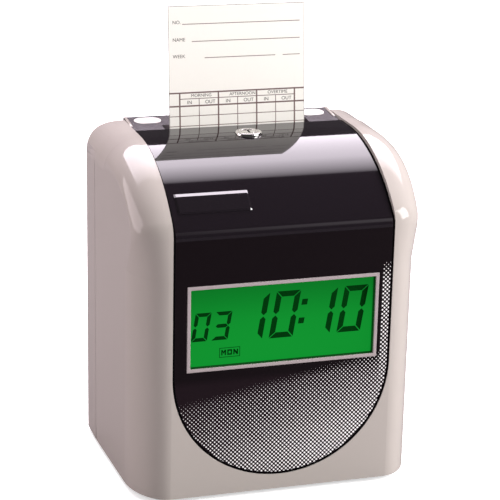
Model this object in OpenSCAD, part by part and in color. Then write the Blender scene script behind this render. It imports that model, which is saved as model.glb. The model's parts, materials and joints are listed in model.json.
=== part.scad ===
// Electronic time clock that draws in a card, prints the hour on it and hands it back.
// A hinged front cover carries the display. The rear case and base tray carry the works.
// Millimetres, +Z up, front towards -Y, origin on the table under the middle of the case.

/* [Case] */
// Width across the rear case
case_w = 178; // [172:1:190]
// Draft of each of the cover's sides towards the front
side_draft = 4; // [3:0.5:6]
// Depth from the front face to the back
case_d = 124; // [120:1:136]
// Height of the rim over the table
case_h = 200; // [196:1:212]
// Wall of the moulded shells
wall = 2.4; // [2:0.1:3]
// Depth of the rear case behind the parting line
rear_d = 28.6; // [26:0.2:32]
// Gap along the parting line
seam_gap = 0.5; // [0.4:0.1:0.8]
// Radius of the rear case's back edges
back_r = 7; // [4:1:10]

/* [Crest] */
// Radius of the long arc from the flat top to the front
crest_r = 100; // [92:1:106]
// Slope at which the long arc meets the bend
crest_turn = 46; // [40:1:50]
// Radius of the bend into the front face
bend_r = 14; // [10:1:16]
// Depth of the rounded shoulder at the top
top_drop = 19.4; // [16:0.2:24]
// Depth of the rounded shoulder along the crest
crest_drop = 13; // [11:0.5:18]
// Depth of the rounded front corners
front_drop = 30.6; // [24:0.2:32]
// Slope of the shoulder where it leaves the rim
shoulder_lead = 9; // [5:1:25]
// Share of the top shoulder that stays nearly flat
top_flat = 0.2; // [0.05:0.05:0.3]
// Share of the front corner that stays nearly flat
front_flat = 0.05; // [0.05:0.05:0.2]

/* [Front panel] */
// Width of the dark panel
panel_w = 130; // [122:1:136]
// Height of the panel's round end over the table
panel_low = 12.5; // [11:0.5:20]
// Thickness of the panel
panel_t = 2.4; // [2:0.1:3]
// Step from the rim down to the panel at the slot
panel_sink = 1.2; // [0.8:0.1:2]
// Step from the cover's front down to the panel
face_sink = 0.3; // [0.2:0.1:0.6]
// Radius of the panel's long arc
panel_crest_r = 110; // [104:1:114]
// Radius of the panel's bend
panel_bend_r = 8; // [6:1:12]
// Gap round the panel
panel_gap = 0.5; // [0.3:0.1:0.8]
// Width of the ledge that carries the panel
ledge_w = 2.5; // [2:0.1:3]
// Thickness of the printed face plate
face_t = 0.8; // [0.5:0.1:1.2]
// Width of the badge plate
badge_w = 43; // [30:1:50]
// Length of the badge plate along the crest
badge_l = 14; // [8:1:18]
// Thickness of the badge plate
badge_t = 0.9; // [0.5:0.1:1.4]

/* [Display] */
// Width of the display's bezel
bezel_w = 114.5; // [104:0.5:116]
// Height of the display's bezel
bezel_h = 51.5; // [40:0.5:53]
// Width of the bezel's strip
bezel_strip = 2.2; // [1.5:0.1:3]
// Drop from the panel's bend to the display's middle
display_drop = 53.6; // [50:0.2:58]
// Thickness of the display glass
glass_t = 2.2; // [1.6:0.1:3]
// Thickness of the backlight
backlight_t = 5; // [3:0.5:6]
// Thickness of the circuit boards
board_t = 1.6; // [1:0.1:2]

/* [Card and slot] */
// Width of the card
card_w = 85; // [80:0.5:88]
// Length of the card
card_l = 187; // [170:1:195]
// Thickness of the card
card_t = 0.4; // [0.3:0.05:0.6]
// Length of the slot's mouth
slot_w = 91; // [90:0.5:96]
// Depth of the mouth's sloped lead-in
mouth_d = 14; // [10:1:18]
// Gap from the card to each of its guides
card_gap = 0.8; // [0.5:0.1:1]
// Depth of the card's lower edge below the rim
card_depth = 116; // [114:1:122]
// Distance of the card behind the parting line
card_set = 2.2; // [1.8:0.1:2.4]
// Lean of the card above the slot
card_lean = 5.3; // [1:0.1:6]

/* [Card feed] */
// Radius of the rubber feed rollers
feed_r = 7; // [6:0.1:8]
// Radius of the pinch rollers
pinch_r = 5; // [4:0.1:6]
// Diameter of the feed shaft
feed_shaft_d = 5; // [4:0.5:6]
// Rise from the card's lower edge to the feed shaft
feed_rise = 11; // [9:1:14]
// Module of the feed gears
gear_module = 0.8; // [0.7:0.05:0.9]
// Teeth of the feed gear
gear_teeth = 30; // [24:1:34]
// Teeth of the motor's pinion
pinion_teeth = 10; // [9:1:12]
// Diameter of the feed motor
motor_d = 26; // [20:1:26]

/* [Printer] */
// Diameter of the carriage rail
rail_d = 6; // [5:0.5:7]
// Diameter of the lead screw
screw_d = 6; // [5:0.5:7]
// Drop from the rim to the carriage rail
rail_drop = 60; // [58:1:62]
// Drop from the rail to the lead screw
screw_drop = 18; // [15:1:20]
// Width of the carriage
carriage_w = 26; // [22:1:30]
// Drop from the rim to the ribbon
ribbon_drop = 50; // [49:1:52]
// Height of the ribbon
ribbon_h = 10; // [8:1:12]

/* [Lock and hinge] */
// Diameter of the lock's flange
lock_d = 17; // [15:0.5:18]
// Diameter of the lock's barrel
barrel_d = 12; // [11:0.5:13]
// Diameter of the lock's plug
plug_d = 8.4; // [7.5:0.1:9]
// Distance of the lock in front of the slot's lip
lock_back = 19; // [18:0.5:20]
// Reach of the lock's cam
cam_l = 10; // [8.5:0.5:10]
// Diameter of the hinge pins
pin_d = 5; // [4:0.5:6]
// Radial clearance of pins and shafts in their holes
run_gap = 0.06; // [0.03:0.01:0.09]

/* [Base and feet] */
// Height of the feet
foot_h = 3; // [2.5:0.5:5]
// Diameter of the feet
foot_d = 13; // [10:1:16]
// Thickness of the sheet metal
sheet_t = 1.2; // [1:0.1:1.5]
// Spacing of the two wall screw holes
wall_hole_pitch = 100; // [80:5:110]
// Diameter of the wall screw holes
wall_hole_d = 5; // [4:0.5:6]

/* [Hidden] */
$fn = 64;

// Clearances and small standard sizes
seat_gap = 0.3;
nib = 1;
long_steps = 12;
bend_steps = 5;
settle_steps = 3;
shoulder_steps = 8;
settle = 25;

// Planes of the case
front_w = case_w - 2 * side_draft;
front_y = -case_d / 2;
back_y = case_d / 2;
seam_y = back_y - rear_d;
cover_y = seam_y - seam_gap;
low_z = foot_h;
shoulder_x = panel_w / 2 + panel_gap;
panel_front = front_y + face_sink;
panel_top = case_h - panel_sink;
panel_back = panel_front + panel_t;
panel_hub_y = panel_front + panel_bend_r + (panel_crest_r - panel_bend_r) * sin(crest_turn);
panel_hub_z = panel_top - panel_crest_r;
kink_z = panel_hub_z + (panel_crest_r - panel_bend_r) * cos(crest_turn);
display_z = kink_z - display_drop;
badge_turn = 37.5;
badge_edge = 4.5;
face_edge = 1;

// Display stack, from the bezel's flange to the board
bezel_flange = 2;
bezel_flange_t = 1.5;
frame_room = 2 * (bezel_flange + seat_gap);
glass_y = panel_back + bezel_flange_t;
backlight_y = glass_y + glass_t;
board_y = backlight_y + backlight_t;
boss_d = 6;
boss_margin = 3;
display_boss_x = panel_w / 2 - ledge_w - boss_d / 2 - nib / 2;
display_boss_z = bezel_h / 2 + bezel_flange + boss_d / 2 + boss_margin;
small_screw_d = 2.2;
small_head_d = 5;
small_head_h = 1.6;
small_screw_l = board_t + 5;
screw_slot = 0.8;
screw_pass = 0.6;

// Card path
card_y = seam_y + card_set;
card_low = case_h - card_depth;
card_bend_r = 120;
card_bend_steps = 4;
guide_t = 1.5;
guide_front_y = card_y - card_gap - guide_t;
guide_rear_y = card_y + card_t + card_gap;
guide_half = 52;
guide_top = panel_top - mouth_d - seat_gap;
guide_low = card_low - 4;
platen_h = 12;
mouth_top_y = seam_y + 9.8;
mouth_low_y = seam_y + 5;
cap_t = 2.4;
cap_dip = 1;
cap_rise = 1.6;
cap_edge = 0.8;
cap_rear = back_y - seat_gap;
cap_tilt = atan(cap_rise / (cap_rear - mouth_top_y));
cap_rail = 4;
stop_w = 40;
card_side = 0.4;
roller_room = 1.5;
platen_inset = 3;
platen_edge = 2;
platen_stand = 0.2;
print_window = card_w - 2 * platen_inset;

// White ovals on the top cap
oval_l = 16.6;
oval_w = 11;
oval_t = 0.8;
oval_stand = 0.3;
oval_gap = 0.15;
oval_x = 52;
oval_y = (mouth_top_y + back_y) / 2;

// Base tray
tray_z = low_z + 0.5;
tray_top = tray_z + sheet_t;
tray_half = front_w / 2 - wall - 3;
tray_front = front_y + 24;
tray_back = back_y - wall - seat_gap;
tray_rim = 8;
foot_x = tray_half - 14;
foot_front = tray_front + 12;
foot_back = tray_back - 20;
foot_screw_d = 3;
case_screw_x = tray_half - 8;
case_screw_y = tray_back - 7;
case_boss_d = 8;
case_boss_h = 14;
case_screw_l = 10;
flat_head_h = 1.4;
foot_recess = 1.6;
tray_vents = 6;
tray_vent_pitch = 7;
tray_vent_l = 46;
tray_vent_w = 3;
back_vents = 8;
back_vent_pitch = 5;
back_vent_l = 44;
back_vent_w = 2.4;
back_vent_x = 30;

// Works between the side frames
frame_t = 1.5;
frame_x = guide_half;
frame_front = front_y + 32;
frame_rear = guide_front_y + guide_t;
ribbon_z = case_h - ribbon_drop;
frame_top = ribbon_z + 4;
frame_foot = 10;
light_d = 20;
light_pitch = 28;
light_low = 22;
frame_screw_x = frame_x + frame_t + frame_foot / 2;
frame_screw_places = [frame_front + 12, frame_rear - 12];
feed_y = card_y - seat_gap - feed_r;
feed_z = card_low + feed_rise;
rail_z = case_h - rail_drop;
pinch_y = card_y + card_t + seat_gap + pinch_r;
pinch_shaft_d = 4;
roller_x = 22;
roller_w = 10;
pinch_ear_x = 33;
pinch_ear_t = 1.5;
pinch_ear_r = 5;
gear_t = 3.5;
gear_x = -frame_x - frame_t - 0.8 - gear_t;
gear_backlash = 0.35;
tooth_root = 1.2;
tooth_tip = 0.9;
tooth_foot = 1.5;
tooth_crest = 0.55;
gear_centres = gear_module * (gear_teeth + pinion_teeth) / 2 + 0.15;
motor_y = feed_y - gear_centres;
motor_l = 18;
motor_shaft_d = 3;
rail_y = guide_front_y - 22;
light_y = rail_y - 18;
screw_z = rail_z - screw_drop;
screw_motor_d = 22;
screw_motor_l = 18;
screw_motor_flange = 2;
carriage_boss = 3;
carriage_web = 8;
carriage_arm = 17;
head_w = 22;
head_d = 8;
head_y = rail_y + 6.5;
fins = 4;
fin_t = 1.2;
nose_half = 5;
nose_h = 8;
cassette_front = frame_front + 6;
cassette_rear = rail_y - 2.5;
cassette_h = 13;
arm_w = 6;
arm_x = frame_x - 1 - arm_w;
ribbon_t = 0.2;
ribbon_y = guide_front_y - 0.8 - ribbon_t;
arm_drop = 6;
knob_d = 16;
knob_h = 5;
knob_stem_d = 5;
knob_grips = 12;
knob_x = 36;
knob_y = cassette_front + 14;

// Hinge of the cover
hinge_y = front_y + 8;
hinge_z = low_z + 13;
ear_r = 5;
ear_t = 3;
ear_x = frame_x + 2;
ear_foot = 7.5;
lug_t = 4;
lug_x = ear_x + ear_t + seat_gap;
hinge_relief = 0.9;
hollow_run = 30;

// Setting buttons
button_d = 8;
button_pitch = 20;
button_z = feed_z + 12;
button_travel = 1.2;
button_cap = 5;
button_flange = 1.2;
button_lip = 1.25;
stem_d = 4;
switch_h = 2;
switch_half = 3;
switch_board_h = 18;
button_plate_y = frame_front - guide_t;
switch_board_y = frame_front + seat_gap + button_flange + button_travel + seat_gap + switch_h + 1;
plate_h = 24;

// Lock
lock_y = cover_y - lock_back;
lock_flange_h = 2.2;
lock_bevel = 1.4;
lock_seat = panel_hub_z + sqrt(pow(panel_crest_r, 2) - pow(panel_hub_y - lock_y + lock_d / 2, 2));
barrel_low = lock_seat - 21;
plug_low = barrel_low - 2;
cam_t = 2;
cam_w = 8;
key_w = 1.2;
key_l = 5.6;
key_depth = 6;
nut_h = 4;
nut_d = barrel_d + 6;
nut_top = panel_hub_z
    + sqrt(pow(panel_crest_r - panel_t, 2) - pow(panel_hub_y - lock_y + nut_d / 2, 2));
strike_w = 18;
strike_t = 1.5;
strike_drop = 12;
strike_z = plug_low + seat_gap + nib;
strike_y = lock_y + barrel_d / 2 + 2 * seat_gap;

// Boards and power
post_d = 6;
post_l = 8;
main_board_y = back_y - wall - post_l - board_t;
main_board_w = 116;
main_board_low = 40;
main_board_h = 96;
post_inset = 5;
wall_hole_z = main_board_low + main_board_h + 24;
inlet_w = 22;
inlet_h = 16;
inlet_x = -case_w / 2 + 39;
inlet_z = low_z + 20;
inlet_d = 14;
inlet_lip = 3;
inlet_pin_x = 4.3;
inlet_pin_r = 1.2;

// Chips and sockets on the main board: x, height on the board, width, height and thickness
board_chips = [
    [-20, 26, 40, 14, 4], [-14, 52, 28, 8, 3], [38, 30, 12, 40, 6],
    [-50, 6, 8, 10, 5], [-38, 6, 8, 10, 5], [-26, 6, 8, 10, 5], [-14, 6, 8, 10, 5]
];
capacitors = [[30, 12], [42, 12]];
capacitor_d = 9;
capacitor_h = 5;

// Transformer and backup cells
core_x = -44;
core_w = 42;
core_d = 20;
core_h = 34;
core_y = frame_front + 15;
coil_d = 34;
coil_inset = 8;
coil_r = 4;
cells = 3;
cell_d = 14;
cell_l = 38;
cell_x = 6;
cell_pitch = 14.3;
cell_y = frame_front + 16;

// Shape helpers

// Box between two corners
module block(low, high) {
    translate(low) cube(high - low);
}

// Cylinder along X
module rod_x(d, x0, x1, y, z) {
    translate([x0, y, z]) rotate([0, 90, 0]) cylinder(d = d, h = x1 - x0);
}

// Cylinder along Y
module rod_y(d, y0, y1, x, z) {
    translate([x, y1, z]) rotate([90, 0, 0]) cylinder(d = d, h = y1 - y0);
}

// Outline drawn in Y and Z, pushed along X
module along_x(x0, x1) {
    translate([x0, 0, 0]) rotate([90, 0, 90]) linear_extrude(x1 - x0) children();
}

// Outline drawn in X and Z, pushed along Y
module along_y(y0, y1) {
    translate([0, y1, 0]) rotate([90, 0, 0]) linear_extrude(y1 - y0) children();
}

// Rectangle with round corners about its middle
module round_rect(w, h, r) {
    for (s = [-1, 1]) translate([s * (w / 2 - r), 0]) {
        for (t = [-1, 1]) translate([0, t * (h / 2 - r)]) circle(r);
        square([2 * r, h - 2 * r], center = true);
    }
    square([w - 2 * r, h], center = true);
}

// Upright plate with a round lower end, as seen from the front
module u_outline(half, low, top) {
    translate([0, low + half]) circle(half, $fn = 128);
    translate([-half, low + half]) square([2 * half, top - low - half]);
}

// Solid skinned over closed rings of points
module skin(rings) {
    n = len(rings[0]);
    last = len(rings) - 1;
    sides = [for (i = [0:last - 1], j = [0:n - 1]) let (k = (j + 1) % n) each [
        [i * n + j, (i + 1) * n + k, i * n + k],
        [i * n + j, (i + 1) * n + j, (i + 1) * n + k]
    ]];
    ends = [for (j = [0:n - 3]) each [
        [n - 1, j, j + 1],
        [last * n + n - 1, last * n + j + 1, last * n + j]
    ]];
    polyhedron([for (ring = rings) each ring], concat(sides, ends));
}

// Side view of a crest: level top, long arc, bend and upright front, sunk by depth.
// Each point holds y, z and its distance along the line from the start of the arc.
function crest_line(top, front, r, rb, depth, y_rear, z_low) =
    let (hub_y = front + rb + (r - rb) * sin(crest_turn),
         hub_z = top - r,
         knee_z = hub_z + (r - rb) * cos(crest_turn),
         run = r * crest_turn * PI / 180,
         bend = rb * (90 - crest_turn) * PI / 180)
    concat(
        [[y_rear, top - depth, 0]],
        [for (i = [0:long_steps]) let (a = crest_turn * i / long_steps)
            [hub_y - (r - depth) * sin(a), hub_z + (r - depth) * cos(a), run * i / long_steps]],
        [for (i = [1:bend_steps]) let (a = crest_turn + (90 - crest_turn) * i / bend_steps)
            [front + rb - (rb - depth) * sin(a), knee_z + (rb - depth) * cos(a),
             run + bend * i / bend_steps]],
        [for (i = [1:settle_steps]) let (s = settle * i / settle_steps)
            [front + depth, knee_z - s, run + bend + s]],
        [[front + depth, z_low, run + bend + settle]]
    );

// Half width of the cover at a depth, with its draft
function cover_half(y) =
    front_w / 2 + (case_w - front_w) / 2 * (y - front_y) / (seam_y - front_y);

// Angle of the shoulder's curve at a step, from the end of its flat part to the side
function shoulder_angle(i) = shoulder_lead + (90 - shoulder_lead) * (i - 1) / shoulder_steps;

// Flat share of the shoulder where the crest has turned by an angle
function shoulder_flat(m) = top_flat + (front_flat - top_flat) * m / 90;

// Depth of the shoulder where the crest has turned by an angle
function shoulder_depth(m) =
    let (u = m / 90)
    top_drop * (1 - u) * (1 - 2 * u) + crest_drop * 4 * u * (1 - u) + front_drop * u * (2 * u - 1);

// Reach of the shoulder from the rim to the side, 0 to 1, at a step of its curve
function shoulder_reach(i, m) =
    let (flat = shoulder_flat(m))
    i == 0 ? 0
    : flat + (1 - flat) * (sin(shoulder_angle(i)) - sin(shoulder_lead)) / (1 - sin(shoulder_lead));

// Fall of the shoulder below the rim at a step of its curve
function shoulder_fall(i, m) =
    let (slip = shoulder_flat(m) * tan(shoulder_lead),
         turn = (cos(shoulder_lead) - cos(shoulder_angle(i))) / cos(shoulder_lead))
    i == 0 ? 0 : shoulder_depth(m) * (slip + (1 - slip) * turn);

// Rings of the cover from the left side over the rim to the right side. Below the hinge's
// height the rear edge leans forward by the relief.
function cover_rings(depth, y_rear, z_low, relief) =
    let (line = crest_line(case_h, front_y, crest_r, bend_r, depth, y_rear, z_low),
         total = line[len(line) - 1][2])
    [for (s = [-1, 1], k = [0:shoulder_steps + 1])
        let (i = s < 0 ? shoulder_steps + 1 - k : k)
        concat(
            [for (p = line) let (m = 90 * p[2] / total,
                                 fall = shoulder_fall(i, m),
                                 y = p[0] + fall * sin(m),
                                 room = cover_half(y) - depth - shoulder_x)
                [s * (shoulder_x + room * shoulder_reach(i, m)), y, p[1] - fall * cos(m)]],
            [for (p = [[y_rear - relief, z_low], [y_rear, hinge_z]])
                let (room = cover_half(p[0]) - depth - shoulder_x)
                [s * (shoulder_x + room * shoulder_reach(i, 0)), p[0], p[1]]]
        )];

// Side outline between two depths of the panel's crest
module panel_band(depth_out, depth_in, y_rear, z_low) {
    outer = crest_line(panel_top, panel_front, panel_crest_r, panel_bend_r, depth_out, y_rear, z_low);
    inner = crest_line(panel_top, panel_front, panel_crest_r, panel_bend_r, depth_in, y_rear, z_low);
    n = len(inner);
    polygon([for (p = outer) [p[0], p[1]], for (i = [n - 1:-1:0]) [inner[i][0], inner[i][1]]]);
}

// Front outline of the rear case, with the same shoulders as the cover
module rear_outline(depth, z_low) {
    half = case_w / 2 - depth;
    curve = [for (i = [0:shoulder_steps + 1])
        [shoulder_x + (half - shoulder_x) * shoulder_reach(i, 0), case_h - depth - shoulder_fall(i, 0)]];
    n = len(curve) - 1;
    polygon(concat(
        [for (i = [0:n]) curve[i]],
        [[half, z_low], [-half, z_low]],
        [for (i = [n:-1:0]) [-curve[i][0], curve[i][1]]]
    ));
}

// Solid of the rear case with round back edges, sunk by depth
module rear_form(depth, y0, z_low) {
    r = max(back_r - depth, 1);
    reach = back_y - depth - y0;
    intersection() {
        along_y(y0, back_y - depth) rear_outline(depth, z_low);
        translate([0, y0 - reach, z_low - nib]) linear_extrude(case_h + 2 * nib)
            translate([0, reach]) round_rect(case_w - 2 * depth, 2 * reach, r);
        along_x(-case_w, case_w) translate([y0, z_low - case_h])
            round_rect(2 * reach, 2 * (2 * case_h - depth - z_low), r);
    }
}

// Spur gear outline with straight-flanked teeth
module gear_outline(teeth) {
    pitch_r = gear_module * teeth / 2;
    root_r = pitch_r - tooth_root * gear_module;
    tip_r = pitch_r + tooth_tip * gear_module;
    step = 360 / teeth;
    tooth_w = PI * gear_module / 2;
    root_a = (tooth_w * tooth_foot - gear_backlash) / root_r * 90 / PI;
    tip_a = (tooth_w * tooth_crest - gear_backlash / 2) / tip_r * 90 / PI;
    polygon([for (i = [0:teeth - 1]) each [
        root_r * [cos(i * step - root_a), sin(i * step - root_a)],
        tip_r * [cos(i * step - tip_a), sin(i * step - tip_a)],
        tip_r * [cos(i * step + tip_a), sin(i * step + tip_a)],
        root_r * [cos(i * step + root_a), sin(i * step + root_a)]
    ]]);
}

// Screw with a round head below its seat, pointing along +Z from the seat
module screw(d, length, head_d, head_h) {
    cylinder(d = d, h = length);
    translate([0, 0, -head_h]) difference() {
        cylinder(d1 = head_d * 0.8, d2 = head_d, h = head_h);
        block([-head_d / 2, -screw_slot / 2, -nib], [head_d / 2, screw_slot / 2, head_h * 0.4]);
    }
}

// Places of the feet
module at_feet() {
    for (x = [-foot_x, foot_x], y = [foot_front, foot_back]) translate([x, y, 0]) children();
}

// Places of the main board's posts
module at_posts() {
    for (s = [-1, 1], z = [post_inset, main_board_h - post_inset])
        translate([s * (main_board_w / 2 - post_inset), 0, main_board_low + z]) children();
}

// Places of the display board's bosses
module at_display_bosses() {
    for (s = [-1, 1], t = [-1, 1])
        translate([s * display_boss_x, 0, display_z + t * display_boss_z]) children();
}

// Base and feet

// Sheet steel tray with turned-up edges, vents and the cover's hinge ears
module base_tray() {
    color("silver") difference() {
        union() {
            block([-tray_half, tray_front, tray_z], [tray_half, tray_back, tray_top]);
            for (s = [-1, 1]) {
                along_x(s * tray_half - (s > 0 ? sheet_t : 0), s * tray_half + (s > 0 ? 0 : sheet_t))
                    translate([tray_front, tray_z])
                    square([seam_y - tray_front, tray_rim]);
                along_x(s * ear_x - (s > 0 ? 0 : ear_t), s * ear_x + (s > 0 ? ear_t : 0)) hinge_ear();
            }
        }
        at_feet() translate([0, 0, tray_z - nib]) cylinder(d = foot_screw_d, h = sheet_t + 2 * nib);
        for (s = [-1, 1]) {
            translate([s * case_screw_x, case_screw_y, tray_z - nib])
                cylinder(d = foot_screw_d, h = sheet_t + 2 * nib);
            rod_x(pin_d, s * ear_x - 2 * ear_t, s * ear_x + 2 * ear_t, hinge_y, hinge_z);
            for (y = frame_screw_places) translate([s * frame_screw_x, y, tray_z - nib])
                cylinder(d = foot_screw_d, h = sheet_t + 2 * nib);
        }
        for (i = [0:tray_vents - 1])
            translate([0, tray_front + 2 * tray_vent_pitch + tray_vent_pitch * i, tray_z - nib])
            linear_extrude(sheet_t + 2 * nib)
            round_rect(tray_vent_l, tray_vent_w, tray_vent_w / 2 - 0.1);
    }
}

// Side outline of a hinge ear
module hinge_ear() {
    translate([hinge_y, hinge_z]) circle(ear_r);
    translate([hinge_y, hinge_z - ear_r]) square([tray_front + ear_foot - hinge_y, 2 * ear_r]);
    translate([tray_front, tray_z]) square([ear_foot, hinge_z + ear_r - tray_z]);
}

// Four rubber feet with a recess for the screw
module feet() {
    bore = foot_screw_d / 2;
    recess = small_head_d / 2 + nib / 2;
    rim = foot_d / 2;
    color("dimgray") at_feet() rotate_extrude() polygon([
        [bore, foot_recess], [recess, foot_recess], [recess, 0],
        [rim - nib, 0], [rim, nib], [rim - nib / 2, tray_z], [bore, tray_z]
    ]);
}

// Screws that hold the feet
module foot_screws() {
    color("gainsboro") at_feet() translate([0, 0, foot_recess])
        screw(foot_screw_d, tray_top - foot_recess, small_head_d, flat_head_h);
}

// Rear case

// Moulded rear shell with vents, wall screw holes and an opening for the top cap
module rear_case() {
    cap_seat = panel_top - cap_t;
    cap_rail_x = shoulder_x - cap_rail / 2;
    color("antiquewhite") difference() {
        union() {
            difference() {
                rear_form(0, seam_y, low_z);
                rear_form(wall, seam_y - nib, low_z - nib);
                block([-shoulder_x, seam_y - nib, cap_seat], [shoulder_x, back_y + nib, case_h + nib]);
            }
            for (s = [-1, 1]) {
                translate([s * case_screw_x, case_screw_y, tray_top])
                    cylinder(d = case_boss_d, h = case_boss_h);
                block([s * case_screw_x - nib, case_screw_y, tray_top],
                      [s * case_screw_x + nib, back_y - wall / 2, tray_top + case_boss_h]);
                block([s * cap_rail_x - cap_rail / 2, seam_y, cap_seat - cap_rail / 2],
                      [s * cap_rail_x + cap_rail / 2, back_y - wall, cap_seat]);
            }
            at_posts() rod_y(post_d, main_board_y + board_t, back_y - wall / 2, 0, 0);
        }
        for (s = [-1, 1]) {
            rod_y(wall_hole_d, back_y - 2 * wall, back_y + nib, s * wall_hole_pitch / 2, wall_hole_z);
            translate([s * case_screw_x, case_screw_y, tray_top - nib])
                cylinder(d = foot_screw_d, h = case_boss_h - nib);
        }
        at_posts() rod_y(small_screw_d, main_board_y, back_y - wall - nib, 0, 0);
        along_y(back_y - 2 * wall, back_y + nib) translate([inlet_x, inlet_z])
            round_rect(inlet_w + 2 * run_gap, inlet_h + 2 * run_gap, 2);
        for (i = [0:back_vents - 1]) along_y(back_y - 2 * wall, back_y + nib)
            translate([back_vent_x, low_z + back_vent_pitch * (i + 2.4)])
            round_rect(back_vent_l, back_vent_w, back_vent_w / 2 - 0.1);
    }
}

// Dark top plate behind the slot, with the card's sloped lead-in
module top_cap() {
    half = panel_w / 2;
    color([0.16, 0.14, 0.16]) difference() {
        union() {
            along_x(-half, half) polygon([
                [seam_y, panel_top - cap_dip], [mouth_top_y, panel_top],
                [cap_rear - cap_edge, panel_top + cap_rise], [cap_rear, panel_top + cap_rise - cap_edge],
                [cap_rear, panel_top - cap_t], [seam_y, panel_top - cap_t]
            ]);
            along_x(-slot_w / 2 - cap_t, slot_w / 2 + cap_t) polygon([
                [seam_y, panel_top - cap_dip], [mouth_top_y, panel_top], [mouth_top_y + cap_t, panel_top],
                [mouth_low_y + cap_t, panel_top - mouth_d], [seam_y, panel_top - mouth_d]
            ]);
        }
        along_x(-slot_w / 2, slot_w / 2) polygon([
            [seam_y - nib, panel_top + nib], [mouth_top_y, panel_top + nib], [mouth_top_y, panel_top],
            [mouth_low_y, panel_top - mouth_d - nib], [seam_y - nib, panel_top - mouth_d - nib]
        ]);
        at_ovals() translate([0, 0, -oval_t]) linear_extrude(oval_t + 2 * nib) oval_outline(oval_gap);
    }
}

// Oval with round ends, grown by a gap
module oval_outline(gap) {
    round_rect(oval_l + 2 * gap, oval_w + 2 * gap, oval_w / 2 + gap - 0.01);
}

// Places of the ovals on the cap
module at_ovals() {
    rise = (oval_y - mouth_top_y) * tan(cap_tilt);
    for (s = [-1, 1]) translate([s * oval_x, oval_y, panel_top + rise]) rotate([cap_tilt, 0, 0])
        children();
}

// White inlays set into the top cap
module oval_inlays() {
    color("white") at_ovals() translate([0, 0, -oval_t])
        linear_extrude(oval_t + oval_stand) oval_outline(0);
}

// Power inlet with two pins in the back wall
module inlet_socket() {
    color("black") difference() {
        union() {
            along_y(back_y - inlet_d, back_y - seat_gap) translate([inlet_x, inlet_z])
                round_rect(inlet_w, inlet_h, 2);
            along_y(back_y - wall - 2, back_y - wall) translate([inlet_x, inlet_z])
                round_rect(inlet_w + 2 * inlet_lip, inlet_h + 2 * inlet_lip, 2);
        }
        along_y(back_y - inlet_d + inlet_lip, back_y + nib) translate([inlet_x, inlet_z]) difference() {
            round_rect(inlet_w - 2 * inlet_lip, inlet_h - 2 * inlet_lip, inlet_lip);
            for (s = [-1, 1]) translate([s * inlet_pin_x, 0]) circle(inlet_pin_r);
        }
    }
}

// Screws from the tray into the rear case
module case_screws() {
    color("gainsboro") for (s = [-1, 1]) translate([s * case_screw_x, case_screw_y, tray_z])
        screw(foot_screw_d, case_screw_l, small_head_d, flat_head_h);
}

// Boards and power

// Main circuit board on the back wall's posts
module main_board() {
    color("darkgreen") difference() {
        block([-main_board_w / 2, main_board_y, main_board_low],
              [main_board_w / 2, main_board_y + board_t, main_board_low + main_board_h]);
        at_posts()
            rod_y(small_screw_d + screw_pass, main_board_y - nib, main_board_y + board_t + nib, 0, 0);
    }
}

// Chips, capacitors and sockets on the main board
module board_parts() {
    color("black") {
        for (c = board_chips) translate([c[0], main_board_y - c[4], main_board_low + c[1]])
            cube([c[2], c[4], c[3]]);
        for (c = capacitors)
            rod_y(capacitor_d, main_board_y - capacitor_h, main_board_y, c[0], main_board_low + c[1]);
    }
}

// Screws of the main board
module board_screws() {
    color("gainsboro") at_posts() translate([0, main_board_y, 0]) rotate([-90, 0, 0])
        screw(small_screw_d, small_screw_l, small_head_d, small_head_h);
}

// Mains transformer: laminated core and winding
module transformer() {
    color("slategray") {
        translate([core_x, core_y, tray_top]) cube([core_w, core_d, core_h]);
        along_x(core_x + coil_inset, core_x + core_w - coil_inset)
            translate([core_y + core_d / 2, tray_top + core_h / 2])
            round_rect(coil_d, core_h - coil_inset, coil_r);
    }
}

// Backup cell pack
module backup_battery() {
    color("royalblue") for (i = [0:cells - 1])
        rod_x(cell_d, cell_x, cell_x + cell_l, cell_y + cell_pitch * i, tray_top + cell_d / 2);
}

// Works

// Side plate with its foot, lightening holes and shaft holes
module side_frame(s) {
    x0 = s > 0 ? frame_x : -frame_x - frame_t;
    foot0 = s > 0 ? frame_x : -frame_x - frame_t - frame_foot;
    difference() {
        union() {
            along_x(x0, x0 + frame_t) polygon([
                [frame_front, tray_top], [frame_rear, tray_top], [frame_rear, guide_top],
                [frame_rear - 10, guide_top], [cassette_rear + 1, frame_top], [frame_front, frame_top]
            ]);
            block([foot0, frame_front, tray_top],
                  [foot0 + frame_foot + frame_t, frame_rear, tray_top + frame_t]);
        }
        rod_x(feed_shaft_d + 2 * run_gap, x0 - nib, x0 + frame_t + nib, feed_y, feed_z);
        rod_x(rail_d, x0 - nib, x0 + frame_t + nib, rail_y, rail_z);
        rod_x(screw_d + 2 * run_gap, x0 - nib, x0 + frame_t + nib, rail_y, screw_z);
        if (s < 0) rod_x(motor_shaft_d + 1, x0 - nib, x0 + frame_t + nib, motor_y, feed_z);
        for (y = frame_screw_places) translate([s * frame_screw_x, y, tray_top - nib])
            cylinder(d = foot_screw_d, h = frame_t + 2 * nib);
        for (i = [0:2])
            rod_x(light_d, x0 - nib, x0 + frame_t + nib, light_y, tray_top + light_low + light_pitch * i);
    }
}

module side_frame_left() {
    color("silver") side_frame(-1);
}

module side_frame_right() {
    color("silver") side_frame(1);
}

// Screws of the side frames
module frame_screws() {
    color("gainsboro") for (s = [-1, 1], y = frame_screw_places)
        translate([s * frame_screw_x, y, tray_top + frame_t]) rotate([180, 0, 0])
            screw(foot_screw_d, frame_t + sheet_t, small_head_d, small_head_h);
}

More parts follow.
